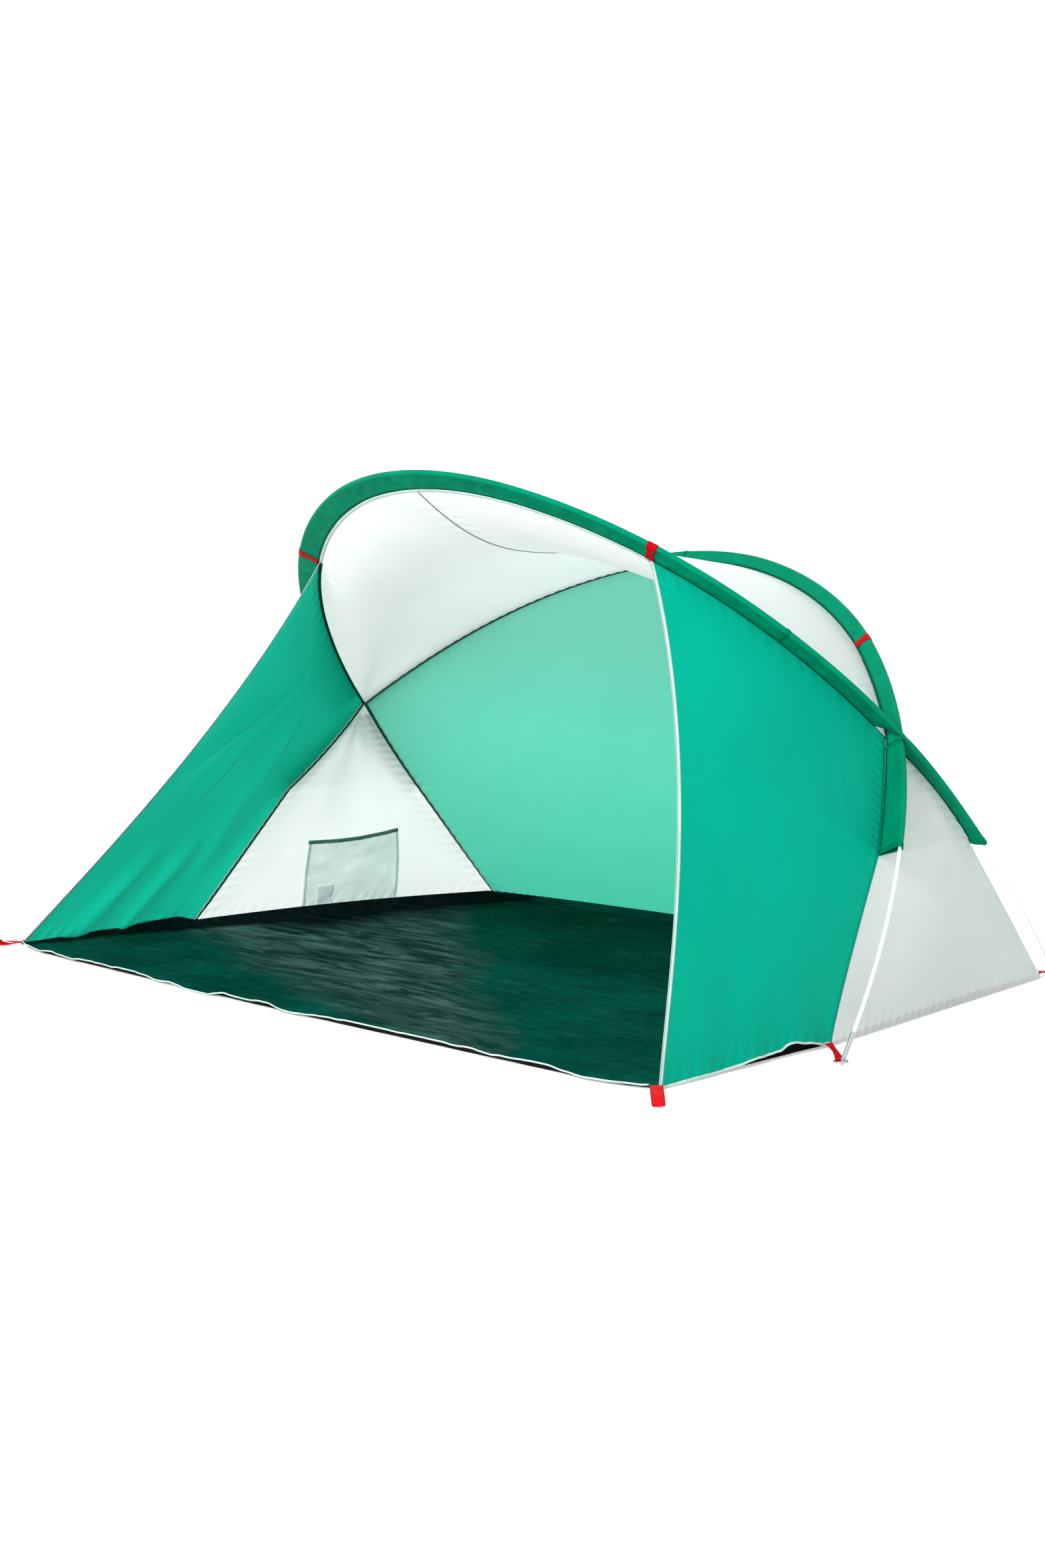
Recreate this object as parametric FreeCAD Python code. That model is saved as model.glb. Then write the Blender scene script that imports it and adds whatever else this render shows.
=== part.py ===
"""Two-pole beach shelter: crossing bent poles in fabric sleeves, a tensioned canopy and a tray floor.

Frame: millimetres, +Z up, the ground at Z = 0, the opening towards -Y, the shelter symmetric about X = 0.
The origin is the middle of the ground rectangle that the pitched shelter covers.
Both poles are flat curves. Each is bent from equal straight sections, so each is a chain of tangent arcs,
and each lies in a plane that leans from the ground line between its two feet: the front pole leans forward
over the opening and the rear pole leans back. Everything sewn to a pole follows the same chain.
"""
import FreeCAD, Part
import math
import os

V = FreeCAD.Vector
os.makedirs("parts", exist_ok=True)

# ---------------------------------------------------------------- poles
ROD_R = 4.0                    # hollow fibreglass rod, outer radius
ROD_BORE_R = 2.5               # its bore
CORD_R = 1.2                   # shock cord through the bore
FRONT_SECTION = 668.0          # length of each of the front pole's seven sections
FRONT_BENDS = (872.0, 1120.0, 1258.0, 3044.0)   # bend radius of the middle section and of the next three
FRONT_FOOT_Y = 901.0           # where the front pole's plane meets the ground
FRONT_LEAN = 46.4              # degrees from upright, towards the opening
REAR_SECTION = 598.0
REAR_BENDS = (954.0, 1245.0, 1642.0, 2206.0)
REAR_FOOT_Y = -361.0
REAR_LEAN = -43.2              # negative: away from the opening
FERRULE_WALL = 1.0             # steel tube over each joint between two sections
FERRULE_LENGTH = 70.0
FERRULE_FIT = 0.05             # radial gap between rod and ferrule
TIP_LENGTH = 67.0              # straight metal tip on each pole end
TIP_R = 5.2
TIP_SOCKET = 22.0              # how deep the rod end sits in the tip
TIP_HEIGHT = 13.0              # height of the tip's mouth over the ground

# ---------------------------------------------------------------- foot pins, rings and straps
PIN_FIT = 0.08                 # radial running gap of a pin in a tip
PIN_INSERT = 20.0              # length of pin inside the tip
PIN_EYE_R = 5.5
PIN_EYE_THICKNESS = 4.0
PIN_EYE_DROP = 9.0             # from the tip's mouth to the middle of the eye
RING_WIRE_R = 1.5
RING_R = 15.0                  # to the middle of the wire
RING_PLAY = 0.5                # radial, in the pin's eye
PIN_COLLAR_R = 4.4             # stops the pin at the tip's mouth
PIN_COLLAR = 1.5
WEBBING_THICKNESS = 1.2
FOOT_STRAP_WIDTH = 20.0
FOOT_STRAP_TAPER = 11.0        # from the ring to where the two layers meet
STRAP_SEAT = 9.0               # height at which foot straps and peg loops are sewn to the lip
PEG_LOOP_WIDTH = 25.0
PEG_LOOP_LENGTH = 150.0
PEG_LOOP_GAP = 9.0             # space for a peg between the two layers
PEG_LOOP_POINT = 10.0          # length of the folded, pointed tip
PEG_LOOP_SKEW = 0.6            # where the point lies across the width
PEG_LOOP_STITCH = 10.0         # sewn length at each end
PEG_LOOP_TAPER = 34.0          # over which the layers part
PEG_LOOP_TURN = 45.0           # degrees outward from straight ahead

# ---------------------------------------------------------------- sleeves
TUNNEL_R = 5.8                 # channel that the pole runs in, clear of the ferrules
SLEEVE_WALL = 0.8
WEB_THICKNESS = 1.4            # the two layers between channel and seam
WEB_ROOT = 0.16                # how deep the web's edge is set in the channel's wall, below the crossing
FRONT_SLEEVE_WIDTH = 58.0      # from the front pole's middle to its seam
FRONT_SLEEVE_END = 1858.0      # along the pole, from its top to the sleeve's hem
FRONT_SLEEVE_JOIN = 1085.0     # where the top length is sewn to the side lengths
REAR_SLEEVE_END = 1572.0
CROSSING_GAP = 26.0            # half the bare stretch of rear pole under the front sleeve
# Seams below the crossing: share of the way along the channel to the sleeve's hem, then how far inside the
# pole's curve and how far forward of its plane the seam runs.
SIDE_SEAM_MIDDLE = (0.4581, 64.0, -28.5)
SIDE_SEAM_HEM = (0.9215, 72.9, -37.2)
BACK_SEAM_MIDDLE = (0.4915, 37.0, 1.5)
BACK_SEAM_HEM = (0.9676, 28.1, 13.4)
WINDOW_HALF = 48.0             # half the length of web cut away at the crossing, at the seam
WINDOW_HALF_TOP = 16.0         # the same, beside the channel
POLE_CLEARANCE = 0.5           # between the rear pole and the front sleeve where they cross
SEAM_R = 2.0                   # bound seam allowance, as a bead along each seam
CLEAR = 0.3                    # between neighbouring sewn pieces
PANEL_CLEAR = 0.6              # between a panel's edge and its seam bead
APEX_WIDTH = 20.0              # narrowest cloth at the pointed end of a panel

# ---------------------------------------------------------------- canopy and floor
FABRIC = 1.5                   # thickness that stands for the thin cloth
MID_CORNER_WAY = (-138.2, 120.8)      # from the rear pole's mouth to the sewn corner beside it
REAR_CORNER_WAY = (12.6, -81.3)       # from the front pole's mouth
WING_FOOT = (24.0, -567.0)     # from the middle corner to the front corner
CORNER_HEIGHT = 14.0           # sewn corners over the ground
WING_TOP_STATION = 718.0       # along the front pole, from its top to the wing's upper corner
WING_EDGE_BOW = (-11.0, 90.0, 29.0)   # how far the wing's front edge curves in at its middle
EDGE_BINDING = 15.0            # binding down the wing's front edge
HEM_BINDING = 7.0              # binding along the wing's foot
HEM_RISE = 16.0                # how far the lip and the wing's foot rise between their corners
GUSSET_RISE = 9.0              # the same, under a side panel
WALL_RISE = 11.0               # the same, under the rear wall
WALL_BULGE = 28.0              # how far the rear wall blows out
GUSSET_BULGE = 16.0
ROOF_SAG = 86.0                # how far the roof hangs below a straight line at its middle seam
FLOOR_THICKNESS = 1.5
LIP_HEIGHT = 13.0              # raised edge of the tray floor
LIP_WALL = 1.5
FLOOR_FRONT_BOW = 65.0         # how far the floor's front edge runs ahead of the front corners at its middle
FLOOR_FRONT_TURN = (96.0, 43.0)       # where it has turned in from each corner: inward and ahead
FLOOR_BINDING = 5.0            # height of the binding on the front lip
FLOOR_FRONT_DEPTH = 40.0       # how far back the bound front edge reaches at its sides
FLOOR_BINDING_WALL = 3.0

# ---------------------------------------------------------------- straps and pocket
STRAP_WIDTH = 25.0
STRAP_THICKNESS = 1.2
STRAP_SHOULDER = 118.0         # degrees round the channel, where the strap leaves it for the web
REAR_STRAP_STATION = 806.0     # along the rear pole, from its top
POCKET_CORNERS = ((0.335, 0.007), (0.659, 0.022), (0.297, 0.327), (0.755, 0.355))   # shares of the side
                               # panel, front to back and foot upwards: lower front, lower back, then upper
POCKET_CLEAR = 0.4             # between the pocket's bands and the panel
POCKET_BINDING = 12.0
POCKET_SIDE_BINDING = 9.0
POCKET_MESH = 0.8              # thickness
POCKET_BAND = 1.2
LABEL_PLACE = (58.0, 10.0)     # from the pocket's front lower corner
LABEL_SIZE = (52.0, 64.0)
LABEL_THICKNESS = 0.6

SLEEVE_R = TUNNEL_R + SLEEVE_WALL
PIN_R = ROD_BORE_R - PIN_FIT
FERRULE_R = ROD_R + FERRULE_FIT + FERRULE_WALL
SEAM_GAP = SEAM_R + CLEAR
PANEL_GAP = SEAM_R + PANEL_CLEAR


# ================================================================ the two pole curves
class Pole:
    """One flat pole curve. A point on it is (x, u): x across, u up along the leaning plane."""

    def __init__(self, section, bends, foot_y, lean):
        self.section = section
        self.bends = bends
        self.foot_y = foot_y
        self.sin = math.sin(math.radians(lean))
        self.cos = math.cos(math.radians(lean))
        self.normal = V(0, -self.cos, -self.sin)
        self.flat = 0.0
        self.lay()

    def lay(self):
        """Lays the half curve from the top outwards, then lifts it so that its tip ends at TIP_HEIGHT."""
        self.runs = []
        station, x, u, turn = 0.0, 0.0, 0.0, 0.0
        if self.flat > 0:
            self.runs.append(("line", 0.0, self.flat, x, u, turn, 0.0))
            station, x = self.flat, self.flat
        for i, radius in enumerate(self.bends):
            length = self.section / 2 - self.flat if i == 0 else self.section
            cx = x - radius * math.sin(turn)
            cu = u - radius * math.cos(turn)
            self.runs.append(("arc", station, station + length, cx, cu, turn, radius))
            turn += length / radius
            station += length
            x = cx + radius * math.sin(turn)
            u = cu + radius * math.cos(turn)
        self.rod_end = station
        self.end = station + TIP_LENGTH - TIP_SOCKET
        self.runs.append(("line", station, self.end, x, u, turn, 0.0))
        low = u - (self.end - station) * math.sin(turn)
        self.lift = TIP_HEIGHT / self.cos - low

    def world(self, x, u):
        return V(x, self.foot_y - u * self.sin, u * self.cos)

    def run_at(self, s):
        for run in self.runs:
            if s <= run[2] + 1e-6:
                return run
        return self.runs[-1]

    def frame(self, s, run=None):
        """Point on the curve, its direction and its outward direction, all in space, at station s."""
        kind, start, end, a, b, turn, radius = run or self.run_at(s)
        if kind == "line":
            t = turn
            x = a + (s - start) * math.cos(t)
            u = b - (s - start) * math.sin(t)
        else:
            t = turn + (s - start) / radius
            x = a + radius * math.sin(t)
            u = b + radius * math.cos(t)
        point = self.world(x, u + self.lift)
        along = V(math.cos(t), math.sin(t) * self.sin, -math.sin(t) * self.cos)
        out = V(math.sin(t), -math.cos(t) * self.sin, math.cos(t) * self.cos)
        return point, along, out

    def place(self, s, out, across=0.0):
        point, _, radial = self.frame(s)
        return point + radial * out + self.normal * across

    def sweep(self, start, end, profile):
        """Solid of the profile carried along the curve between two stations on the +X side."""
        solids = []
        for run in self.runs:
            a, b = max(start, run[1]), min(end, run[2])
            if b - a < 1e-4:
                continue
            face = profile(*self.frame(a, run), self.normal)
            if run[0] == "line":
                solids.append(face.extrude(self.frame(a, run)[1] * (b - a)))
            else:
                centre = self.world(run[3], run[4] + self.lift)
                solids.append(face.revolve(centre, self.normal * -1, math.degrees((b - a) / run[6])))
        return join(solids)

    def seam_where(self, u_level, inset=0.0):
        """Station where the line a given inset inside the curve comes down to u_level, and its x there."""
        for kind, start, end, a, b, turn, radius in self.runs:
            if kind == "line":
                continue
            share = (u_level - b - self.lift) / (radius - inset)
            t = math.acos(max(-1.0, min(1.0, share)))
            if turn - 1e-9 <= t <= turn + (end - start) / radius + 1e-9:
                return start + (t - turn) * radius, a + (radius - inset) * math.sin(t)
        raise ValueError("the pole never comes down to that level")

    def reach(self, x, u):
        """Station whose inward line passes through (x, u), and how far inside the curve that point lies."""
        for kind, start, end, a, b, turn, radius in self.runs:
            if kind == "line":
                continue
            t = math.atan2(x - a, u - b - self.lift)
            if turn - 1e-9 <= t <= turn + (end - start) / radius + 1e-9:
                return start + (t - turn) * radius, radius - math.hypot(x - a, u - b - self.lift)
        raise ValueError("the point lies outside the pole's reach")


def join(solids):
    shape = solids[0]
    for other in solids[1:]:
        shape = shape.fuse(other)
    return shape.removeSplitter() if len(solids) > 1 else shape


def mirrored(shape):
    return shape.mirror(V(0, 0, 0), V(1, 0, 0))


front = Pole(FRONT_SECTION, FRONT_BENDS, FRONT_FOOT_Y, FRONT_LEAN)
rear = Pole(REAR_SECTION, REAR_BENDS, REAR_FOOT_Y, REAR_LEAN)

# The two planes meet in one line across the shelter. The front pole passes outside the rear pole there,
# and whichever pole would be too narrow for that gets a straight run at its top.
ratio = front.cos / rear.cos
FRONT_CROSS_U = (FRONT_FOOT_Y - REAR_FOOT_Y) / (front.sin - ratio * rear.sin)
REAR_CROSS_U = FRONT_CROSS_U * ratio
PASS = SLEEVE_R + ROD_R + POLE_CLEARANCE
spare = front.seam_where(FRONT_CROSS_U)[1] - rear.seam_where(REAR_CROSS_U)[1] - PASS
front.flat = max(0.0, -spare)
rear.flat = max(0.0, spare)
front.lay()
rear.lay()
REAR_CROSS = rear.seam_where(REAR_CROSS_U)[0]

# ================================================================ seams
CROSS_STATION, CROSS_X = front.seam_where(FRONT_CROSS_U, FRONT_SLEEVE_WIDTH)
REAR_CROSS_STATION, REAR_SLEEVE_WIDTH = rear.reach(CROSS_X, REAR_CROSS_U)
CROSSING = front.place(CROSS_STATION, -FRONT_SLEEVE_WIDTH)


def beside_foot(pole, way):
    mouth = pole.frame(pole.end)[0]
    return mouth.x + way[0], mouth.y + way[1]


MID_CORNER = beside_foot(rear, MID_CORNER_WAY)
REAR_CORNER = beside_foot(front, REAR_CORNER_WAY)
FRONT_CORNER = (MID_CORNER[0] + WING_FOOT[0], MID_CORNER[1] + WING_FOOT[1])
FLOOR_FRONT_Y = FRONT_CORNER[1] - FLOOR_FRONT_BOW
FLOOR_FRONT_SIDE = (FRONT_CORNER[0] - FLOOR_FRONT_TURN[0], FRONT_CORNER[1] - FLOOR_FRONT_TURN[1])


def corner(xy):
    return V(xy[0], xy[1], CORNER_HEIGHT)


def lerp(a, b, t):
    return a + (b - a) * t


class Seam:
    """Seam along the inner edge of a sleeve above the crossing, on the +X side, in the pole's plane."""

    def __init__(self, pole, width, start, end):
        self.pole, self.width, self.start, self.end = pole, width, start, end

    def at(self, t):
        """Point a share t of the way from the start station to the end station."""
        return self.pole.place(lerp(self.start, self.end, t), -self.width)


class LowSeam:
    """Seam below the crossing, on the +X side: an arc to the sleeve's hem, then straight to a floor corner."""

    def __init__(self, pole, start, end, ways, foot):
        middle, self.last = [pole.place(lerp(start, end, share), -inside, ahead) for share, inside, ahead in ways]
        self.foot = foot
        edge = Part.Arc(CROSSING, middle, self.last).toShape()
        self.circle = edge.Curve
        self.begin, self.finish = edge.ParameterRange
        self.curved = edge.Length
        self.straight = (foot - self.last).Length

    def on_arc(self, t):
        return self.circle.value(lerp(self.begin, self.finish, t))

    def at(self, t):
        """Point a share t of the way from the crossing to the floor corner."""
        s = t * (self.curved + self.straight)
        if s <= self.curved:
            return self.on_arc(s / self.curved)
        return lerp(self.last, self.foot, (s - self.curved) / self.straight)

    def bead(self, skip):
        """Bound seam allowance along the whole seam, but for a short length at the crossing."""
        begin = self.begin + skip / self.circle.Radius
        ring = Part.Circle(self.circle.value(begin), self.circle.tangent(begin)[0], SEAM_R)
        turn = math.degrees(self.finish - begin)
        curved = Part.Face(Part.Wire(ring.toShape())).revolve(self.circle.Center, self.circle.Axis, turn)
        way = (self.foot - self.last).normalize()
        straight = Part.makeCylinder(SEAM_R, self.straight - SEAM_GAP, self.last, way)
        return curved.fuse([straight, Part.makeSphere(SEAM_R, self.last)]).removeSplitter()


FRONT_CORNER_POINT = corner(FRONT_CORNER)
MID_CORNER_POINT = corner(MID_CORNER)
REAR_CORNER_POINT = corner(REAR_CORNER)

roof_front = Seam(front, FRONT_SLEEVE_WIDTH, CROSS_STATION, 0.0)
roof_rear = Seam(rear, REAR_SLEEVE_WIDTH, REAR_CROSS_STATION, 0.0)
wing_top = Seam(front, FRONT_SLEEVE_WIDTH, CROSS_STATION, WING_TOP_STATION)
back_seam = LowSeam(front, CROSS_STATION, FRONT_SLEEVE_END, (BACK_SEAM_MIDDLE, BACK_SEAM_HEM), REAR_CORNER_POINT)
side_seam = LowSeam(rear, REAR_CROSS_STATION, REAR_SLEEVE_END, (SIDE_SEAM_MIDDLE, SIDE_SEAM_HEM), MID_CORNER_POINT)


# ================================================================ profiles across a pole
def disc(radius, out=0.0):
    def profile(point, along, radial, normal):
        circle = Part.Circle(point + radial * out, along, radius)
        return Part.Face(Part.Wire(circle.toShape()))
    return profile


def tube(outer, inner):
    def profile(point, along, radial, normal):
        whole, bore = [Part.Face(Part.Wire(Part.Circle(point, along, r).toShape())) for r in (outer, inner)]
        return whole.cut(bore).Faces[0]
    return profile


def sleeve(width):
    """Channel round the pole, with a flat web from the channel to the seam."""
    def profile(point, along, radial, normal):
        def at(r, n):
            return point + radial * r + normal * n
        half = WEB_THICKNESS / 2
        neck = -math.sqrt(SLEEVE_R ** 2 - half ** 2)
        foot = -(width - SEAM_GAP)
        outline = [
            Part.LineSegment(at(foot, -half), at(neck, -half)),
            Part.Arc(at(neck, -half), at(SLEEVE_R, 0), at(neck, half)),
            Part.LineSegment(at(neck, half), at(foot, half)),
            Part.LineSegment(at(foot, half), at(foot, -half)),
        ]
        whole = Part.Face(Part.Wire([edge.toShape() for edge in outline]))
        tunnel = Part.Face(Part.Wire(Part.Circle(point, along, TUNNEL_R).toShape()))
        return whole.cut(tunnel).Faces[0]
    return profile


def wrap(width):
    """Webbing strap folded over the channel and down both faces of the web."""
    shoulder_angle = math.radians(STRAP_SHOULDER)

    def profile(point, along, radial, normal):
        def at(r, n):
            return point + radial * r + normal * n

        def path(offset):
            bend = SLEEVE_R + CLEAR + offset
            flat = WEB_THICKNESS / 2 + CLEAR + offset
            shoulder = (bend * math.cos(shoulder_angle), bend * math.sin(shoulder_angle))
            waist = (-2.5 * SLEEVE_R, flat)
            foot = (-(width - 3 * SEAM_R), flat)
            return shoulder, waist, foot, bend
        s1, w1, f1, b1 = path(0.0)
        s2, w2, f2, b2 = path(STRAP_THICKNESS)
        edges = [Part.Arc(at(s2[0], s2[1]), at(b2, 0), at(s2[0], -s2[1]))]
        edges.append(Part.Arc(at(s1[0], s1[1]), at(b1, 0), at(s1[0], -s1[1])))
        for side in (1, -1):
            for a, b in ((s2, w2), (w2, f2), (f2, f1), (f1, w1), (w1, s1)):
                edges.append(Part.LineSegment(at(a[0], side * a[1]), at(b[0], side * b[1])))
        ordered = Part.sortEdges([edge.toShape() for edge in edges])[0]
        return Part.Face(Part.Wire(ordered))
    return profile


def window(pole, width, station):
    """Prism that clears the web where the two sleeves cross."""
    top = -(SLEEVE_R - SLEEVE_WALL / 2)
    low = -(width + SEAM_GAP)
    ends = [(-WINDOW_HALF, low), (-WINDOW_HALF_TOP, top), (WINDOW_HALF_TOP, top), (WINDOW_HALF, low)]
    deep = 3 * SLEEVE_R
    points = [pole.place(station + s, out, -deep) for s, out in ends]
    face = Part.Face(Part.makePolygon(points + points[:1]))
    return face.extrude(pole.normal * (2 * deep))


# ================================================================ poles
def section_bounds(pole):
    return [pole.section / 2 + i * pole.section for i in range(len(pole.bends))]


def build_pole(name, pole):
    """Seven rod sections, numbered from the -X foot, with their ferrules, tips and shock cord."""
    rod = tube(ROD_R, ROD_BORE_R)
    bounds = section_bounds(pole)
    middle = pole.sweep(0.0, bounds[0], rod)
    count = len(bounds)
    nodes = {f"{name}_pole_section_{count}": join([middle, mirrored(middle)])}
    for i in range(1, count):
        solid = pole.sweep(bounds[i - 1], bounds[i], rod)
        nodes[f"{name}_pole_section_{count + i}"] = solid
        nodes[f"{name}_pole_section_{count - i}"] = mirrored(solid)
    half = FERRULE_LENGTH / 2
    ferrule = tube(FERRULE_R, ROD_R + FERRULE_FIT)
    right = [pole.sweep(b - half, b + half, ferrule) for b in bounds[:-1]]
    nodes[f"{name}_pole_ferrules"] = Part.makeCompound(right + [mirrored(s) for s in right])
    tip = pole.sweep(pole.rod_end - TIP_SOCKET, pole.end, disc(TIP_R))
    socket = pole.sweep(pole.rod_end - 2 * TIP_SOCKET, pole.rod_end, disc(ROD_R + FERRULE_FIT))
    mouth, along, _ = pole.frame(pole.end)
    depth = pole.end - pole.rod_end + CLEAR
    tip = tip.cut([socket, Part.makeCylinder(ROD_BORE_R, 2 * depth, mouth - along * depth, along)])
    nodes[f"{name}_pole_tips"] = Part.makeCompound([tip, mirrored(tip)])
    cord = pole.sweep(0.0, pole.end - PIN_INSERT - CLEAR, disc(CORD_R))
    nodes[f"{name}_shock_cord"] = join([cord, mirrored(cord)])
    return nodes


def low_web(pole, start, end, mouth, seam):
    """Web of a sleeve below the crossing, from its channel to its seam, cut away beside the crossing."""
    neck = -(SLEEVE_R - WEB_ROOT)

    def surface(u, v):
        return lerp(pole.place(lerp(start, end, v), neck), seam.on_arc(v), u)

    def window_edge(u):
        return lerp(mouth, WINDOW_HALF, u) / (end - start)
    return sheet(surface, (fixed(0.0), across_u(surface, -SEAM_GAP)), (window_edge, fixed(1.0)), (3, 12), 0.0, WEB_THICKNESS)


def build_sleeves():
    """The front sleeve is one channel over the rear pole; the rear sleeve is open where they cross."""
    nodes = {}
    channel = tube(SLEEVE_R, TUNNEL_R)
    shape = sleeve(FRONT_SLEEVE_WIDTH)
    top = front.sweep(0.0, FRONT_SLEEVE_JOIN, shape)
    nodes["front_sleeve_top"] = join([top, mirrored(top)])
    side = front.sweep(FRONT_SLEEVE_JOIN + CLEAR, CROSS_STATION, shape)
    side = side.cut(window(front, FRONT_SLEEVE_WIDTH, CROSS_STATION))
    low = front.sweep(CROSS_STATION, FRONT_SLEEVE_END, channel)
    web = low_web(front, CROSS_STATION, FRONT_SLEEVE_END, WINDOW_HALF_TOP, back_seam)
    side = join([side, low, web])
    nodes["front_sleeve_side_right"] = side
    nodes["front_sleeve_side_left"] = mirrored(side)
    shape = sleeve(REAR_SLEEVE_WIDTH)
    gap = window(rear, REAR_SLEEVE_WIDTH, REAR_CROSS_STATION)
    top = rear.sweep(0.0, REAR_CROSS - CROSSING_GAP, shape)
    top = join([top, mirrored(top)])
    nodes["rear_sleeve_top"] = top.cut([gap, mirrored(gap)])
    low = rear.sweep(REAR_CROSS + CROSSING_GAP, REAR_SLEEVE_END, channel)
    mouth = REAR_CROSS + CROSSING_GAP - REAR_CROSS_STATION
    side = join([low, low_web(rear, REAR_CROSS_STATION, REAR_SLEEVE_END, mouth, side_seam)])
    nodes["rear_sleeve_side_right"] = side
    nodes["rear_sleeve_side_left"] = mirrored(side)
    return nodes


def build_seams():
    bead = disc(SEAM_R, -FRONT_SLEEVE_WIDTH)
    top = front.sweep(0.0, CROSS_STATION, bead)
    nodes = {"roof_front_binding": join([top, mirrored(top)])}
    stop = 2 * SEAM_R + CLEAR
    bead = disc(SEAM_R, -REAR_SLEEVE_WIDTH)
    top = rear.sweep(0.0, REAR_CROSS_STATION - stop, bead)
    nodes["roof_rear_seam"] = join([top, mirrored(top)])
    low = back_seam.bead(CLEAR)
    nodes["rear_wall_seams"] = Part.makeCompound([low, mirrored(low)])
    low = side_seam.bead(stop)
    nodes["side_seam_bindings"] = Part.makeCompound([low, mirrored(low)])
    return nodes


def build_straps():
    half = STRAP_WIDTH / 2
    nodes = {}
    for name, pole, width, at in (("front", front, FRONT_SLEEVE_WIDTH, WING_TOP_STATION),
                                  ("rear", rear, REAR_SLEEVE_WIDTH, REAR_STRAP_STATION)):
        strap = pole.sweep(at - half, at + half, wrap(width))
        nodes[f"{name}_sleeve_straps"] = Part.makeCompound([strap, mirrored(strap)])
    return nodes


# ================================================================ pole feet
class Foot:
    """Where a pole end meets its pin: the tip's mouth, the eye below it and the level way to the sewn corner."""

    def __init__(self, pole, corner_xy, shift):
        self.mouth, self.along, _ = pole.frame(pole.end)
        self.eye = self.mouth + self.along * PIN_EYE_DROP
        self.anchor = V(corner_xy[0] - shift, corner_xy[1], STRAP_SEAT)
        level = V(self.anchor.x - self.eye.x, self.anchor.y - self.eye.y, 0)
        self.toward = level.normalize()
        self.across = V(0, 0, 1).cross(self.toward)
        self.ring_centre = self.eye + self.toward * RING_R

    def pin(self):
        shank = Part.makeCylinder(PIN_R, PIN_INSERT + PIN_EYE_DROP, self.mouth - self.along * PIN_INSERT, self.along)
        collar = Part.makeCylinder(PIN_COLLAR_R, PIN_COLLAR, self.mouth + self.along * CLEAR, self.along)
        start = self.eye - self.across * (PIN_EYE_THICKNESS / 2)
        eye = Part.makeCylinder(PIN_EYE_R, PIN_EYE_THICKNESS, start, self.across)
        start = self.eye - self.across * PIN_EYE_THICKNESS
        hole = Part.makeCylinder(RING_WIRE_R + RING_PLAY, 2 * PIN_EYE_THICKNESS, start, self.across)
        return shank.fuse([collar, eye]).cut(hole)

    def ring(self):
        return Part.makeTorus(RING_R, RING_WIRE_R, self.ring_centre, V(0, 0, 1))

    def strap(self):
        """Webbing folded round the ring, its two layers sewn together and to the floor's lip."""
        half = FOOT_STRAP_WIDTH / 2
        slot = RING_WIRE_R + CLEAR
        bend = math.sqrt((RING_R - RING_WIRE_R) ** 2 - half ** 2) - CLEAR + slot
        neck = RING_R + slot
        merge = neck + FOOT_STRAP_TAPER
        reach = (self.anchor - self.ring_centre).dot(self.toward)
        rise = self.anchor.z - self.ring_centre.z
        base = self.ring_centre - self.across * half
        thick = WEBBING_THICKNESS

        def at(o, z):
            return base + self.toward * o + V(0, 0, z)

        def loop(size, tail):
            arc = Part.Arc(at(bend, size), at(bend - size, 0), at(bend, -size)).toShape()
            path = [at(bend, -size), at(neck, -size)] + tail + [at(neck, size), at(bend, size)]
            return Part.Face(Part.Wire([arc] + Part.makePolygon(path).Edges))
        outer = loop(slot + thick, [at(merge, -thick), at(reach, rise - thick), at(reach, rise + thick), at(merge, thick)])
        inner = loop(slot, [at(merge, 0)])
        strap = outer.cut(inner).extrude(self.across * FOOT_STRAP_WIDTH)
        return strap.cut(floor_block(CLEAR, 2 * LIP_HEIGHT))


def build_feet():
    feet = {"front": Foot(front, REAR_CORNER, FOOT_STRAP_WIDTH / 2), "rear": Foot(rear, MID_CORNER, 0.0)}
    nodes = {}
    for name, foot in feet.items():
        for piece, shape in (("pin", foot.pin()), ("ring", foot.ring()), ("strap", foot.strap())):
            nodes[f"{name}_pole_foot_{piece}_right"] = shape
            nodes[f"{name}_pole_foot_{piece}_left"] = mirrored(shape)
    return nodes


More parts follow.
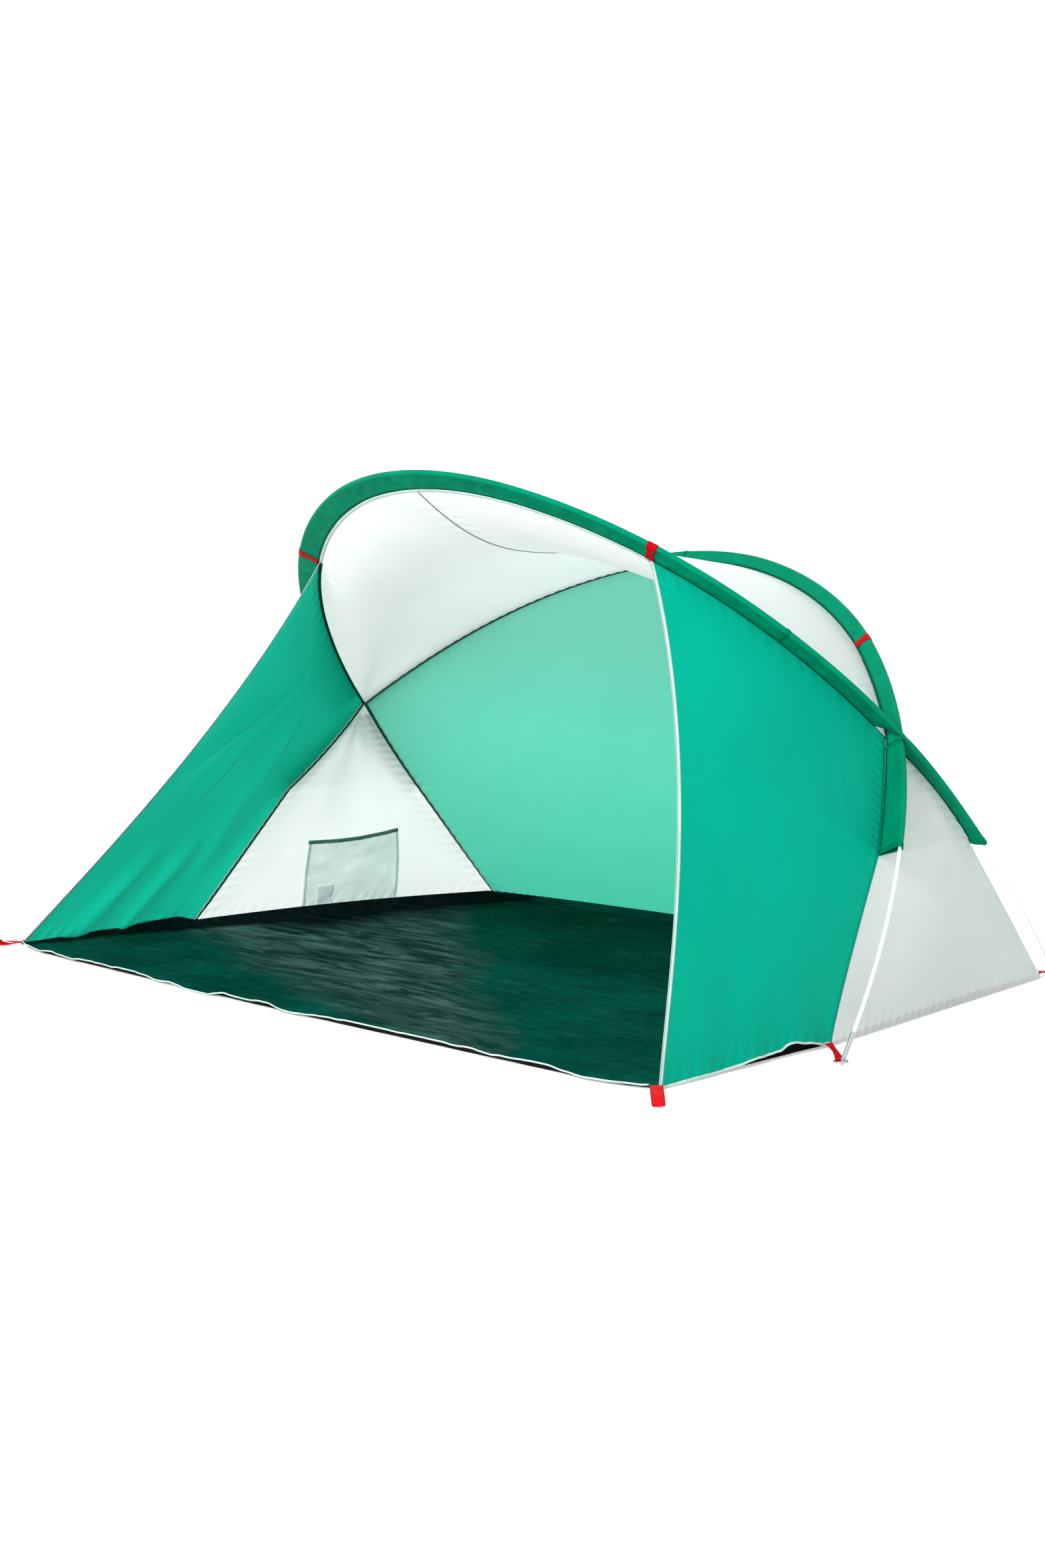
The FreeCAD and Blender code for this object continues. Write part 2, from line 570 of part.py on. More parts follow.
def build_peg_loops():
    """Webbing doubled into a long flat loop at each front corner, its folded end cut to a point."""
    turn = math.radians(PEG_LOOP_TURN)
    way = V(math.sin(turn), -math.cos(turn), 0)
    across = V(0, 0, 1).cross(way)
    base = V(FRONT_CORNER[0], FRONT_CORNER[1], 0) - across * (PEG_LOOP_WIDTH / 2)
    thick = WEBBING_THICKNESS
    low, seat, end = CLEAR, STRAP_SEAT, PEG_LOOP_LENGTH
    high = low + 2 * thick + PEG_LOOP_GAP
    opens, flat = PEG_LOOP_STITCH, PEG_LOOP_STITCH + PEG_LOOP_TAPER
    shut = end - PEG_LOOP_STITCH

    def at(o, z):
        return base + way * o + V(0, 0, z)
    outer = [at(CLEAR, seat - thick), at(opens, seat - thick), at(flat, low), at(end, low),
             at(end, low + 2 * thick), at(shut, low + 2 * thick), at(shut - PEG_LOOP_TAPER, high), at(flat, high),
             at(opens, seat + thick), at(CLEAR, seat + thick)]
    inner = [at(opens + thick, seat), at(flat, low + thick), at(shut - thick, low + thick),
             at(shut - PEG_LOOP_TAPER, high - thick), at(flat, high - thick)]
    body, gap = [Part.Face(Part.makePolygon(ring + ring[:1])) for ring in (outer, inner)]
    loop = body.cut(gap).extrude(across * PEG_LOOP_WIDTH)
    wide, tip, skew = PEG_LOOP_WIDTH, PEG_LOOP_POINT, PEG_LOOP_SKEW
    plan = [(-CLEAR, -wide), (end - tip - tip / skew, -wide), (end, skew * wide),
            (end - tip * (2 - skew) / (1 - skew), 2 * wide), (-CLEAR, 2 * wide)]
    plan = [base - V(0, 0, CLEAR) + way * o + across * a for o, a in plan]
    mask = Part.Face(Part.makePolygon(plan + plan[:1])).extrude(V(0, 0, 2 * high))
    loop = loop.common(mask)
    return {"front_peg_loop_right": loop, "front_peg_loop_left": mirrored(loop)}


# ================================================================ floor
def floor_block(grow, height):
    """The floor's outline, grown outward by a little, from the ground up to a height."""
    side = [(0.0, FLOOR_FRONT_Y), FLOOR_FRONT_SIDE, FRONT_CORNER, MID_CORNER, REAR_CORNER, (0.0, REAR_CORNER[1])]
    points = [V(x, y, 0) for x, y in side]
    points += [V(-p.x, p.y, 0) for p in reversed(points[1:-1])]
    wire = Part.makePolygon(points + points[:1])
    face = Part.Face(wire.makeOffset2D(grow, 2, False, False)) if grow else Part.Face(wire)
    return face.extrude(V(0, 0, height))


def lip_rise(a, b, rise):
    """Extra height of the lip between two corners, as a low arch."""
    start = V(a[0], a[1], LIP_HEIGHT)
    end = V(b[0], b[1], LIP_HEIGHT)
    way = (end - start).normalize()
    inward = V(0, 0, 1).cross(way)
    middle = (V(a[0], a[1], LIP_HEIGHT) + end) / 2 + V(0, 0, rise)
    arc = Part.Arc(start, middle, end).toShape()
    face = Part.Face(Part.Wire([arc, Part.makeLine(end, start)]))
    return face.extrude(inward * LIP_WALL)


def build_floor():
    tray = floor_block(0.0, LIP_HEIGHT)
    hollow = floor_block(-LIP_WALL, LIP_HEIGHT)
    hollow.translate(V(0, 0, FLOOR_THICKNESS))
    front_notch = Part.makeBox(4 * FRONT_CORNER[0], 2 * FLOOR_FRONT_DEPTH, LIP_HEIGHT,
                               V(-2 * FRONT_CORNER[0], FLOOR_FRONT_SIDE[1] - FLOOR_FRONT_DEPTH,
                                 LIP_HEIGHT - FLOOR_BINDING))
    tray = tray.cut([hollow, front_notch])
    rises = []
    for a, b, rise in ((FRONT_CORNER, MID_CORNER, HEM_RISE), (MID_CORNER, REAR_CORNER, GUSSET_RISE)):
        arch = lip_rise(a, b, rise)
        rises += [arch, mirrored(arch)]
    rises.append(lip_rise(REAR_CORNER, (-REAR_CORNER[0], REAR_CORNER[1]), WALL_RISE))
    tray = tray.fuse(rises).removeSplitter()
    band = floor_block(0.0, FLOOR_BINDING).cut(floor_block(-FLOOR_BINDING_WALL, FLOOR_BINDING))
    band.translate(V(0, 0, LIP_HEIGHT - FLOOR_BINDING + CLEAR))
    keep = Part.makeBox(4 * FRONT_CORNER[0], 2 * FLOOR_FRONT_DEPTH - 2 * CLEAR, LIP_HEIGHT * 2,
                        V(-2 * FRONT_CORNER[0], FLOOR_FRONT_SIDE[1] - FLOOR_FRONT_DEPTH, 0))
    return {"floor": tray, "floor_front_binding": band.common(keep)}


# ================================================================ fabric panels
def spanned(left, right, bottom, top, push):
    """Surface between four edge curves. u runs from left to right and v from bottom to top."""
    def surface(u, v):
        sides = left(v) * (1 - u) + right(v) * u
        ends = bottom(u) * (1 - v) + top(u) * v
        corners = (bottom(0) * (1 - u) + bottom(1) * u) * (1 - v) + (top(0) * (1 - u) + top(1) * u) * v
        return sides + ends - corners + push * (math.sin(math.pi * u) * math.sin(math.pi * v))
    return surface


def slopes(surface, u, v):
    step = 1e-3
    u0, u1 = max(u - step, 0.0), min(u + step, 1.0)
    v0, v1 = max(v - step, 0.0), min(v + step, 1.0)
    du = (surface(u1, v) - surface(u0, v)) / (u1 - u0)
    dv = (surface(u, v1) - surface(u, v0)) / (v1 - v0)
    return du, dv


def across_u(surface, distance):
    """Share of u at a distance from the left edge, or from the right edge when the distance is negative."""
    edge = 0.0 if distance >= 0 else 1.0

    def share(v):
        du, dv = slopes(surface, edge, v)
        return edge + distance * dv.Length / du.cross(dv).Length
    return share


def across_v(surface, distance):
    edge = 0.0 if distance >= 0 else 1.0

    def share(u):
        du, dv = slopes(surface, u, edge)
        return edge + distance * du.Length / du.cross(dv).Length
    return share


def fixed(value):
    return lambda _: value


def sheet(surface, u_span, v_span, steps, standoff=0.0, thickness=FABRIC):
    """Closed sheet over part of a surface, bounded by four share functions."""
    skins = []
    for side in (-0.5, 0.5):
        rows = []
        for i in range(steps[0] + 1):
            row = []
            for j in range(steps[1] + 1):
                a, b = i / steps[0], j / steps[1]
                v = lerp(v_span[0](a), v_span[1](a), b)
                u = lerp(u_span[0](v), u_span[1](v), a)
                v = lerp(v_span[0](u), v_span[1](u), b)
                du, dv = slopes(surface, u, v)
                normal = du.cross(dv).normalize()
                row.append(surface(u, v) + normal * (standoff + side * thickness))
            rows.append(row)
        spline = Part.BSplineSurface()
        spline.interpolate(rows)
        skins.append(spline.toShape())
    faces = skins + [Part.makeRuledSurface(a, b) for a, b in zip(skins[0].Edges, skins[1].Edges)]
    shell = Part.Shell(faces)
    shell.sewShape()
    solid = Part.Solid(shell)
    if solid.Volume < 0:
        solid.reverse()
    return solid


def hem(a, b, rise):
    """Foot of a panel between two sewn corners, lifted a little between them."""
    return lambda t: lerp(a, b, t) + V(0, 0, 4 * t * (1 - t) * rise)


def flip(point):
    return V(-point.x, point.y, point.z)


def first_share(seam_a, seam_b):
    """Share along two seams from their crossing where they are far enough apart for cloth between them."""
    t = 0.0
    while (seam_a.at(t) - seam_b.at(t)).Length < APEX_WIDTH:
        t += 0.001
    return t


def wing_surface():
    top = front.place(WING_TOP_STATION, -FRONT_SLEEVE_WIDTH)
    bow = V(*WING_EDGE_BOW)

    def edge(t):
        return lerp(FRONT_CORNER_POINT, top, t) + bow * (4 * t * (1 - t))
    return spanned(edge, lambda t: side_seam.at(1 - t), hem(FRONT_CORNER_POINT, MID_CORNER_POINT, HEM_RISE),
                   lambda t: wing_top.at(1 - t), V(0, 0, 0))


def rear_wall_surface():
    left, right = flip(REAR_CORNER_POINT), REAR_CORNER_POINT

    def top(t):
        return flip(roof_rear.at(2 * t)) if t < 0.5 else roof_rear.at(2 - 2 * t)
    return spanned(lambda t: flip(back_seam.at(1 - t)), lambda t: back_seam.at(1 - t),
                   hem(left, right, WALL_RISE), top, V(0, WALL_BULGE, 0))


def gusset_surface():
    """Triangular side panel: v runs from the foot up to where the sleeves cross."""
    start = first_share(side_seam, back_seam)

    def surface(u, v):
        t = 1 - v * (1 - start)
        lift = V(0, 0, 4 * u * (1 - u) * GUSSET_RISE * (1 - v) ** 2)
        blow = V(math.sin(math.pi * u) * math.sin(math.pi * v) * GUSSET_BULGE, 0, 0)
        return lerp(side_seam.at(t), back_seam.at(t), u) + lift + blow
    return surface


def roof_surface():
    """Half of the roof: u runs from the middle seam to the crossing, v from front to rear."""
    start = first_share(roof_front, roof_rear)

    def surface(u, v):
        t = 1 - u * (1 - start)
        sag = V(0, 0, -math.sin(math.pi * v * (2 - v)) * ROOF_SAG * (1 - u ** 2))
        return lerp(roof_front.at(t), roof_rear.at(t), v) + sag
    return surface


def build_panels():
    nodes = {}
    s = roof_surface()
    half = sheet(s, (across_u(s, CLEAR / 2), across_u(s, -CLEAR)), (across_v(s, PANEL_GAP), across_v(s, -PANEL_GAP)), (16, 16))
    nodes["roof_right"], nodes["roof_left"] = half, mirrored(half)
    s = rear_wall_surface()
    nodes["rear_wall"] = sheet(s, (across_u(s, PANEL_GAP), across_u(s, -PANEL_GAP)),
                               (across_v(s, 0.0), across_v(s, -PANEL_GAP)), (24, 24))
    s = gusset_surface()
    side = sheet(s, (across_u(s, PANEL_GAP), across_u(s, -PANEL_GAP)), (across_v(s, 0.0), across_v(s, -CLEAR)), (6, 24))
    nodes["side_gusset_right"], nodes["side_gusset_left"] = side, mirrored(side)
    s = wing_surface()
    back, top = across_u(s, -PANEL_GAP), across_v(s, -PANEL_GAP)
    inner, foot = across_u(s, EDGE_BINDING + CLEAR), across_v(s, HEM_BINDING + CLEAR)
    wing = sheet(s, (inner, back), (foot, top), (12, 24))
    edge = sheet(s, (across_u(s, 0.0), across_u(s, EDGE_BINDING)), (across_v(s, 0.0), top), (2, 16))
    low = sheet(s, (inner, back), (across_v(s, 0.0), across_v(s, HEM_BINDING)), (12, 2))
    nodes["wing_right"], nodes["wing_left"] = wing, mirrored(wing)
    nodes["wing_edge_bindings"] = Part.makeCompound([edge, mirrored(edge)])
    nodes["wing_hem_bindings"] = Part.makeCompound([low, mirrored(low)])
    return nodes


def pocket_surface():
    """The part of the side panel behind the pocket: a runs front to back and b from foot to mouth."""
    panel = gusset_surface()
    corners = [V(u, v, 0) for u, v in POCKET_CORNERS]

    def surface(a, b):
        share = lerp(lerp(corners[0], corners[1], a), lerp(corners[2], corners[3], a), b)
        return panel(share.x, share.y)
    return surface


def build_pocket():
    """Flat mesh pocket on the inner face of the left side panel."""
    s = pocket_surface()
    left, right = across_u(s, POCKET_SIDE_BINDING), across_u(s, -POCKET_SIDE_BINDING)
    mouth = across_v(s, -POCKET_BINDING)
    depth = -(FABRIC / 2 + POCKET_CLEAR + POCKET_BAND / 2)
    steps = (6, 6)
    inner = (across_u(s, POCKET_SIDE_BINDING + CLEAR), across_u(s, -POCKET_SIDE_BINDING - CLEAR))
    below = (fixed(0.0), across_v(s, -POCKET_BINDING - CLEAR))
    mesh = sheet(s, inner, below, steps, depth, POCKET_MESH)
    bands = [sheet(s, span, below, steps, depth, POCKET_BAND) for span in ((fixed(0.0), left), (right, fixed(1.0)))]
    band = sheet(s, (fixed(0.0), fixed(1.0)), (mouth, fixed(1.0)), steps, depth, POCKET_BAND)
    lift = depth - POCKET_MESH / 2 - CLEAR - LABEL_THICKNESS / 2
    across = [across_u(s, d) for d in (LABEL_PLACE[0], LABEL_PLACE[0] + LABEL_SIZE[0])]
    upward = [across_v(s, d) for d in (LABEL_PLACE[1], LABEL_PLACE[1] + LABEL_SIZE[1])]
    label = sheet(s, across, upward, (2, 2), lift, LABEL_THICKNESS)
    return {"pocket_mesh": mirrored(mesh), "pocket_side_bindings": Part.makeCompound([mirrored(b) for b in bands]),
            "pocket_top_binding": mirrored(band), "pocket_label": mirrored(label)}


# ================================================================ the whole shelter
def main():
    nodes = {}
    for built in (build_pole("front", front), build_pole("rear", rear), build_sleeves(), build_seams(),
                  build_straps(), build_feet(), build_peg_loops(), build_floor(), build_panels(), build_pocket()):
        nodes.update(built)
    cords = [nodes.pop("front_shock_cord"), nodes.pop("rear_shock_cord")]
    nodes["shock_cords"] = Part.makeCompound(cords)
    for name, shape in nodes.items():
        shape.exportStep(f"parts/{name}.step")
    print(len(nodes), "nodes written")


main()
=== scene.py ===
"""Looks of the two-pole beach shelter: cloth, webbing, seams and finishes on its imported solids. Metres."""
import bmesh
import bpy
import math
import numpy as np
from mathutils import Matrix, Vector


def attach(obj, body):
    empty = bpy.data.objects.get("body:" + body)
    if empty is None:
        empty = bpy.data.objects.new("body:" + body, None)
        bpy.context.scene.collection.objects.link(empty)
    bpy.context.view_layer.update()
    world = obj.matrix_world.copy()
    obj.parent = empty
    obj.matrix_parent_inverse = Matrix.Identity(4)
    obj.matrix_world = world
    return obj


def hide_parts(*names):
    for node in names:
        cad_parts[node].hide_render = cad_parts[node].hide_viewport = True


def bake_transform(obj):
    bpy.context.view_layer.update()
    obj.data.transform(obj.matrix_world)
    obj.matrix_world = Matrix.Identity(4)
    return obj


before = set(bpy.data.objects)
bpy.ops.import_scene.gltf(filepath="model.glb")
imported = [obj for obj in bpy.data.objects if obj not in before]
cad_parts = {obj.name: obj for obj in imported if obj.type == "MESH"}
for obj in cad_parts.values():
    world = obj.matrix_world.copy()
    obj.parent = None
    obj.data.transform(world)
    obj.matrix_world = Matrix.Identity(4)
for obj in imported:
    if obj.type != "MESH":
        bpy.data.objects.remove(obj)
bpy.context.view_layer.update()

# ---- sizes shared with the solid model
FRONT_SECTION, FRONT_BENDS = 0.668, (0.872, 1.120, 1.258, 3.044)
FRONT_FOOT_Y, FRONT_LEAN, FRONT_FLAT = 0.901, 46.4, 0.0
REAR_SECTION, REAR_BENDS = 0.598, (0.954, 1.245, 1.642, 2.206)
REAR_FOOT_Y, REAR_LEAN, REAR_FLAT = -0.361, -43.2, 0.00613
TIP_LENGTH, TIP_SOCKET, TIP_HEIGHT = 0.067, 0.022, 0.013
SLEEVE_R = 0.0066                             # of the sleeves' cloth round a pole
FRONT_WIDTH, REAR_WIDTH = 0.058, 0.03726      # from each pole to its seam
FRONT_CROSS, REAR_CROSS = 1.4640, 1.2007      # stations where the two seams cross
FRONT_JOIN, FRONT_END = 1.085, 1.858          # cross seam and hem of the front sleeve's sides
REAR_POLE_CROSS, REAR_END = 1.2260, 1.572     # where the rear pole passes under, and its sleeve's hem
SIDE_SEAM = ((1.0256, 0.1497, 0.5022), (1.0885, 0.0512, 0.3846))
BACK_SEAM = ((1.0107, 0.3649, 0.5085), (1.0259, 0.4906, 0.3723))
FRONT_CORNER, MID_CORNER, REAR_CORNER = (1.196, -0.795, 0.014), (1.172, -0.228, 0.014), (1.021, 0.806, 0.014)
WING_TOP, REAR_STRAP = 0.718, 0.806           # stations of the straps round the sleeves
WING_EDGE_BOW = (-0.011, 0.090, 0.029)
HEM_RISE, GUSSET_RISE, WALL_RISE = 0.016, 0.009, 0.011
WALL_BULGE, GUSSET_BULGE, ROOF_SAG = 0.028, 0.016, 0.086
FLOOR_FRONT_Y, FLOOR_FRONT_SIDE = -0.860, (1.100, -0.838)
LIP = 0.013                                   # height of the floor's raised edge at a corner
APEX_GAP = 0.004                              # how far two seams have parted where a panel's point starts
STRAP_WIDTH, STRAP_THICKNESS = 0.025, 0.0012
FOOT_STRAP_HALF, PEG_LOOP = 0.010, 0.150
PIN_EYE_DROP, RING_R, STRAP_SEAT = 0.009, 0.015, 0.009

# ---- sizes of the scene alone
SLEEVE_MEETING, SQUEEZE = 0.0015, 0.0014      # half the gap between the rear sleeves, and how tight they lie
WINDOW = 0.048, 0.016                         # half lengths of the cut in the front sleeve, foot and top
REAR_JOIN = -0.050                            # station of the cross seam in the rear sleeve's top
HEM_IN = 0.0075                               # from a sleeve's end to the middle of its hem
WING_FOOT = {"right": ((0, 0.003), (0.30, 0.005), (0.43, 0.008), (0.56, 0.014), (0.68, 0.017),
                       (0.76, 0.028), (0.86, 0.019), (0.96, 0.009), (1, 0.008)),
             "left": ((0, 0.003), (0.45, 0.011), (0.88, 0.024), (1, 0.010))}
GUSSET_FOOT, WALL_FOOT = 0.002, 0.004         # heights of the other panels' feet over the ground
FOOT_REACH, FOOT_STANDOFF = 0.110, 0.007      # how far up a foot hangs free, and how far out of the floor
EDGE_BINDING, HEM_BINDING = 0.0088, 0.005     # widths of a wing's bindings
TAPE_LIFT = 0.0017                            # of a tape's middle over its panel
HEART = (0.0, 0.0, 0.45)                      # a point inside the shelter, which every panel faces
TACK = 0.0006                                 # half the thickness of webbing
PEG_POINT = 0.010                             # length over which a peg loop's end is trimmed
PUCKER, PUCKER_PITCH, PUCKER_REACH = 0.0012, 0.034, 0.014
FLOOR_THICKNESS = 0.0008
POCKET_SAG, POCKET_BAG, POCKET_LIFT = 0.008, 0.006, 0.0026
POCKET_CORNERS = ((0.335, 0.007), (0.659, 0.022), (0.297, 0.327), (0.755, 0.355))
SIDES = "right", "left"


# ---- camera
def add_camera():
    """Camera solved from the photograph. The lens is for a long side of 36 mm."""
    place, azimuth, drop = (4.1438, -3.9522, 1.0109), math.radians(46.55), math.radians(5.33)
    data = bpy.data.cameras.new("camera")
    data.sensor_width, data.lens = 36.0, 50.89
    data.clip_start, data.clip_end = 0.1, 200.0
    camera = bpy.data.objects.new("camera", data)
    bpy.context.scene.collection.objects.link(camera)
    camera.location = place
    look = Vector((-math.sin(azimuth) * math.cos(drop), math.cos(azimuth) * math.cos(drop), -math.sin(drop)))
    camera.rotation_euler = look.to_track_quat("-Z", "Y").to_euler()
    bpy.context.scene.camera = camera


add_camera()


# ---- vector helpers on arrays
def vec(*parts):
    return np.stack(np.broadcast_arrays(*parts), axis=-1).astype(float)


def unit(a):
    return a / np.maximum(np.linalg.norm(a, axis=-1, keepdims=True), 1e-12)


def dot(a, b):
    return (a * b).sum(-1, keepdims=True)


def mix(a, b, t):
    return a + (b - a) * t


def held(x):
    """The share kept between 0 and 1."""
    return np.clip(x, 0, 1)


def smooth(x):
    x = held(x)
    return x * x * (3 - 2 * x)


def square_to(a, line):
    """The unit vector nearest to a that is square to a unit vector along a line."""
    return unit(a - line * dot(a, line))


def lattice(ix, iy, seed):
    """Repeatable pseudo-random number between 0 and 1 for each whole-number pair."""
    value = np.sin(ix * 127.1 + iy * 311.7 + seed * 74.7) * 43758.5453
    return value - np.floor(value)


def noise(x, y, seed=0):
    """Smooth value noise between -1 and 1."""
    ix, iy = np.floor(x), np.floor(y)
    fx, fy = smooth(x - ix), smooth(y - iy)
    low = mix(lattice(ix, iy, seed), lattice(ix + 1, iy, seed), fx)
    high = mix(lattice(ix, iy + 1, seed), lattice(ix + 1, iy + 1, seed), fx)
    return 2 * mix(low, high, fy) - 1


def clouds(x, y, octaves=3, seed=0):
    total, size = 0.0, 1.0
    for i in range(octaves):
        total = total + noise(x * 2 ** i, y * 2 ** i, seed + 13 * i) * size
        size *= 0.5
    return total


# ---- the two pole curves and the seams
class Pole:
    """Flat curve of tangent arcs in a leaning plane. A station is the length from its top, + towards +X."""

    def __init__(self, section, bends, foot_y, lean, flat):
        self.foot_y = foot_y
        self.sin, self.cos = math.sin(math.radians(lean)), math.cos(math.radians(lean))
        self.normal = np.array([0.0, -self.cos, -self.sin])
        lengths = [flat, section / 2 - flat] + [section] * (len(bends) - 1) + [TIP_LENGTH - TIP_SOCKET]
        curving = [0.0] + [1 / r for r in bends] + [0.0]
        station, x, u, turn = 0.0, 0.0, 0.0, 0.0
        runs = []
        for length, k in zip(lengths, curving):
            runs.append((station, x, u, turn, k))
            x, u, turn = self.step(x, u, turn, k, length)
            station += length
        self.runs, self.end = np.array(runs), station
        self.lift = TIP_HEIGHT / self.cos - float(u)

    @staticmethod
    def step(x, u, turn, k, ds):
        """Where a run of curvature k gets to after a length ds."""
        bend = np.where(np.abs(k) < 1e-9, 1e-9, k)
        t = turn + ds * bend
        return x + (np.sin(t) - np.sin(turn)) / bend, u + (np.cos(t) - np.cos(turn)) / bend, turn + ds * k

    def frame(self, station):
        """Point, direction away from the top and outward direction at each station."""
        s = np.asarray(station, float)
        side, s = np.where(s < 0, -1.0, 1.0), np.abs(s)
        run = self.runs[np.searchsorted(self.runs[:, 0], s, side="right") - 1]
        start, x, u, turn, k = (run[..., i] for i in range(5))
        x, u, t = self.step(x, u, turn, k, s - start)
        u = u + self.lift
        point = vec(side * x, self.foot_y - u * self.sin, u * self.cos)
        along = vec(side * np.cos(t), np.sin(t) * self.sin, -np.sin(t) * self.cos)
        out = vec(side * np.sin(t), -np.cos(t) * self.sin, np.cos(t) * self.cos)
        return point, along, out

    def inside(self, station, width):
        point, _, out = self.frame(station)
        return point - out * width


front = Pole(FRONT_SECTION, FRONT_BENDS, FRONT_FOOT_Y, FRONT_LEAN, FRONT_FLAT)
rear = Pole(REAR_SECTION, REAR_BENDS, REAR_FOOT_Y, REAR_LEAN, REAR_FLAT)
CROSSING = front.inside(FRONT_CROSS, FRONT_WIDTH)


class LowSeam:
    """Seam below the crossing on the +X side: an arc to the sleeve's hem, then straight to the floor."""

    def __init__(self, middle, hem, foot):
        a, b, c = CROSSING, np.array(middle), np.array(hem)
        ab, ac = b - a, c - a
        axis = np.cross(ab, ac)
        to_centre = (np.cross(axis, ab) * (ac @ ac) + np.cross(ac, axis) * (ab @ ab)) / (2 * axis @ axis)
        self.centre, self.radius = a + to_centre, np.linalg.norm(to_centre)
        self.e1 = unit(a - self.centre)
        self.e2 = unit(np.cross(axis, self.e1))
        self.turn = math.atan2((c - self.centre) @ self.e2, (c - self.centre) @ self.e1) % (2 * math.pi)
        self.last, self.foot = c, np.array(foot)
        self.curved = self.radius * self.turn
        self.length = self.curved + np.linalg.norm(self.foot - c)

    def on_arc(self, t):
        angle = np.asarray(t, float)[..., None] * self.turn
        return self.centre + (self.e1 * np.cos(angle) + self.e2 * np.sin(angle)) * self.radius

    def at(self, t):
        """Point a share t of the way from the crossing to the floor corner."""
        s = np.asarray(t, float) * self.length
        beyond = held((s - self.curved) / (self.length - self.curved))
        straight = mix(self.last, self.foot, beyond[..., None])
        return np.where((s <= self.curved)[..., None], self.on_arc(np.minimum(s / self.curved, 1)), straight)


side_seam = LowSeam(*SIDE_SEAM, MID_CORNER)
back_seam = LowSeam(*BACK_SEAM, REAR_CORNER)


def roof_front(t):
    return front.inside(FRONT_CROSS * (1 - t), FRONT_WIDTH)


def roof_rear(t):
    return rear.inside(REAR_CROSS * (1 - t), REAR_WIDTH)


def flip(points):
    return points * np.array([-1.0, 1.0, 1.0])


# ---- panel surfaces, for the +X side
def spanned(left, right, bottom, top, push=(0, 0, 0)):
    """Surface between four edge curves, its middle moved by push. u runs from left to right and v from
    bottom to top."""
    def surface(u, v):
        u, v = np.asarray(u, float), np.asarray(v, float)
        across, up = u[..., None], v[..., None]
        zero, one = np.zeros_like(u), np.ones_like(u)
        sides = mix(left(v), right(v), across)
        ends = mix(bottom(u), top(u), up)
        corners = mix(mix(bottom(zero), bottom(one), across), mix(top(zero), top(one), across), up)
        return sides + ends - corners + np.array(push) * (np.sin(math.pi * across) * np.sin(math.pi * up))
    return surface


def hem(a, b, rise):
    def edge(t):
        t = np.asarray(t, float)
        return mix(np.array(a), np.array(b), t[..., None]) + vec(0 * t, 0 * t, 4 * t * (1 - t) * rise)
    return edge


def wing_edge(t):
    top = front.inside(WING_TOP, FRONT_WIDTH)
    t = np.asarray(t, float)[..., None]
    return mix(np.array(FRONT_CORNER), top, t) + np.array(WING_EDGE_BOW) * (4 * t * (1 - t))


def eased(x, knots):
    """Smooth line through knots of place and value."""
    places, values = np.array(knots).T
    i = np.clip(np.searchsorted(places, x, side="right") - 1, 0, len(places) - 2)
    return mix(values[i], values[i + 1], smooth((x - places[i]) / (places[i + 1] - places[i])))


def wing_foot(side):
    """Height of a wing's foot over the ground, as a function of the share from front to middle corner."""
    return lambda u: eased(u, WING_FOOT[side])


def let_down(surface, height, outward):
    """The surface with its foot brought to height(u) over the ground, just outside the floor's edge."""
    out = unit(np.array(outward, float))

    def moved(u, v):
        u, v = np.asarray(u, float), np.asarray(v, float)
        point, foot = surface(u, v), surface(u, 0 * v)
        near = np.exp(-np.linalg.norm(point - foot, axis=-1) / FOOT_REACH)
        drop = (foot[..., 2] - height(u)) * near
        return point - vec(0 * u, 0 * u, drop) + out * (FOOT_STANDOFF * near)[..., None]
    return moved


wing = spanned(wing_edge, lambda t: side_seam.at(1 - t), hem(FRONT_CORNER, MID_CORNER, HEM_RISE),
               lambda t: front.inside(mix(WING_TOP, FRONT_CROSS, t), FRONT_WIDTH))


def wall_top(t):
    return rear.inside(REAR_CROSS * (2 * t - 1), REAR_WIDTH)


REAR_LEFT = (-REAR_CORNER[0], REAR_CORNER[1], REAR_CORNER[2])
rear_wall = spanned(lambda t: flip(back_seam.at(1 - t)), lambda t: back_seam.at(1 - t),
                    hem(REAR_LEFT, REAR_CORNER, WALL_RISE), wall_top, (0, WALL_BULGE, 0))


def apex_share(a, b):
    """Share along two seams from the crossing where they have parted by the width of a panel's point."""
    t = np.linspace(0, 0.5, 2001)
    return t[np.argmax(np.linalg.norm(a(t) - b(t), axis=-1) > APEX_GAP)]


GUSSET_START = apex_share(side_seam.at, back_seam.at)
ROOF_START = apex_share(roof_front, roof_rear)


def gusset(u, v):
    """Side panel: u runs from the side seam to the back seam, v from the foot to the crossing."""
    u, v = np.asarray(u, float), np.asarray(v, float)
    t = 1 - v * (1 - GUSSET_START)
    lift = 4 * u * (1 - u) * GUSSET_RISE * (1 - v) ** 2
    blow = np.sin(math.pi * u) * np.sin(math.pi * v) * GUSSET_BULGE
    return mix(side_seam.at(t), back_seam.at(t), u[..., None]) + vec(blow, 0 * u, lift)


def roof(u, v):
    """Half of the roof: u runs from the middle seam to the crossing, v from front to rear."""
    u, v = np.asarray(u, float), np.asarray(v, float)
    t = 1 - u * (1 - ROOF_START)
    sag = -np.sin(math.pi * v * (2 - v)) * ROOF_SAG * (1 - u ** 2)
    return mix(roof_front(t), roof_rear(t), v[..., None]) + vec(0 * u, 0 * u, sag)


# ---- meshes
ROOT = "pitched_shelter"


def collect(obj, body=ROOT):
    if body:
        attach(obj, body)
    return obj


def stand_for(obj, node, slot_name):
    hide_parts(node)
    return obj


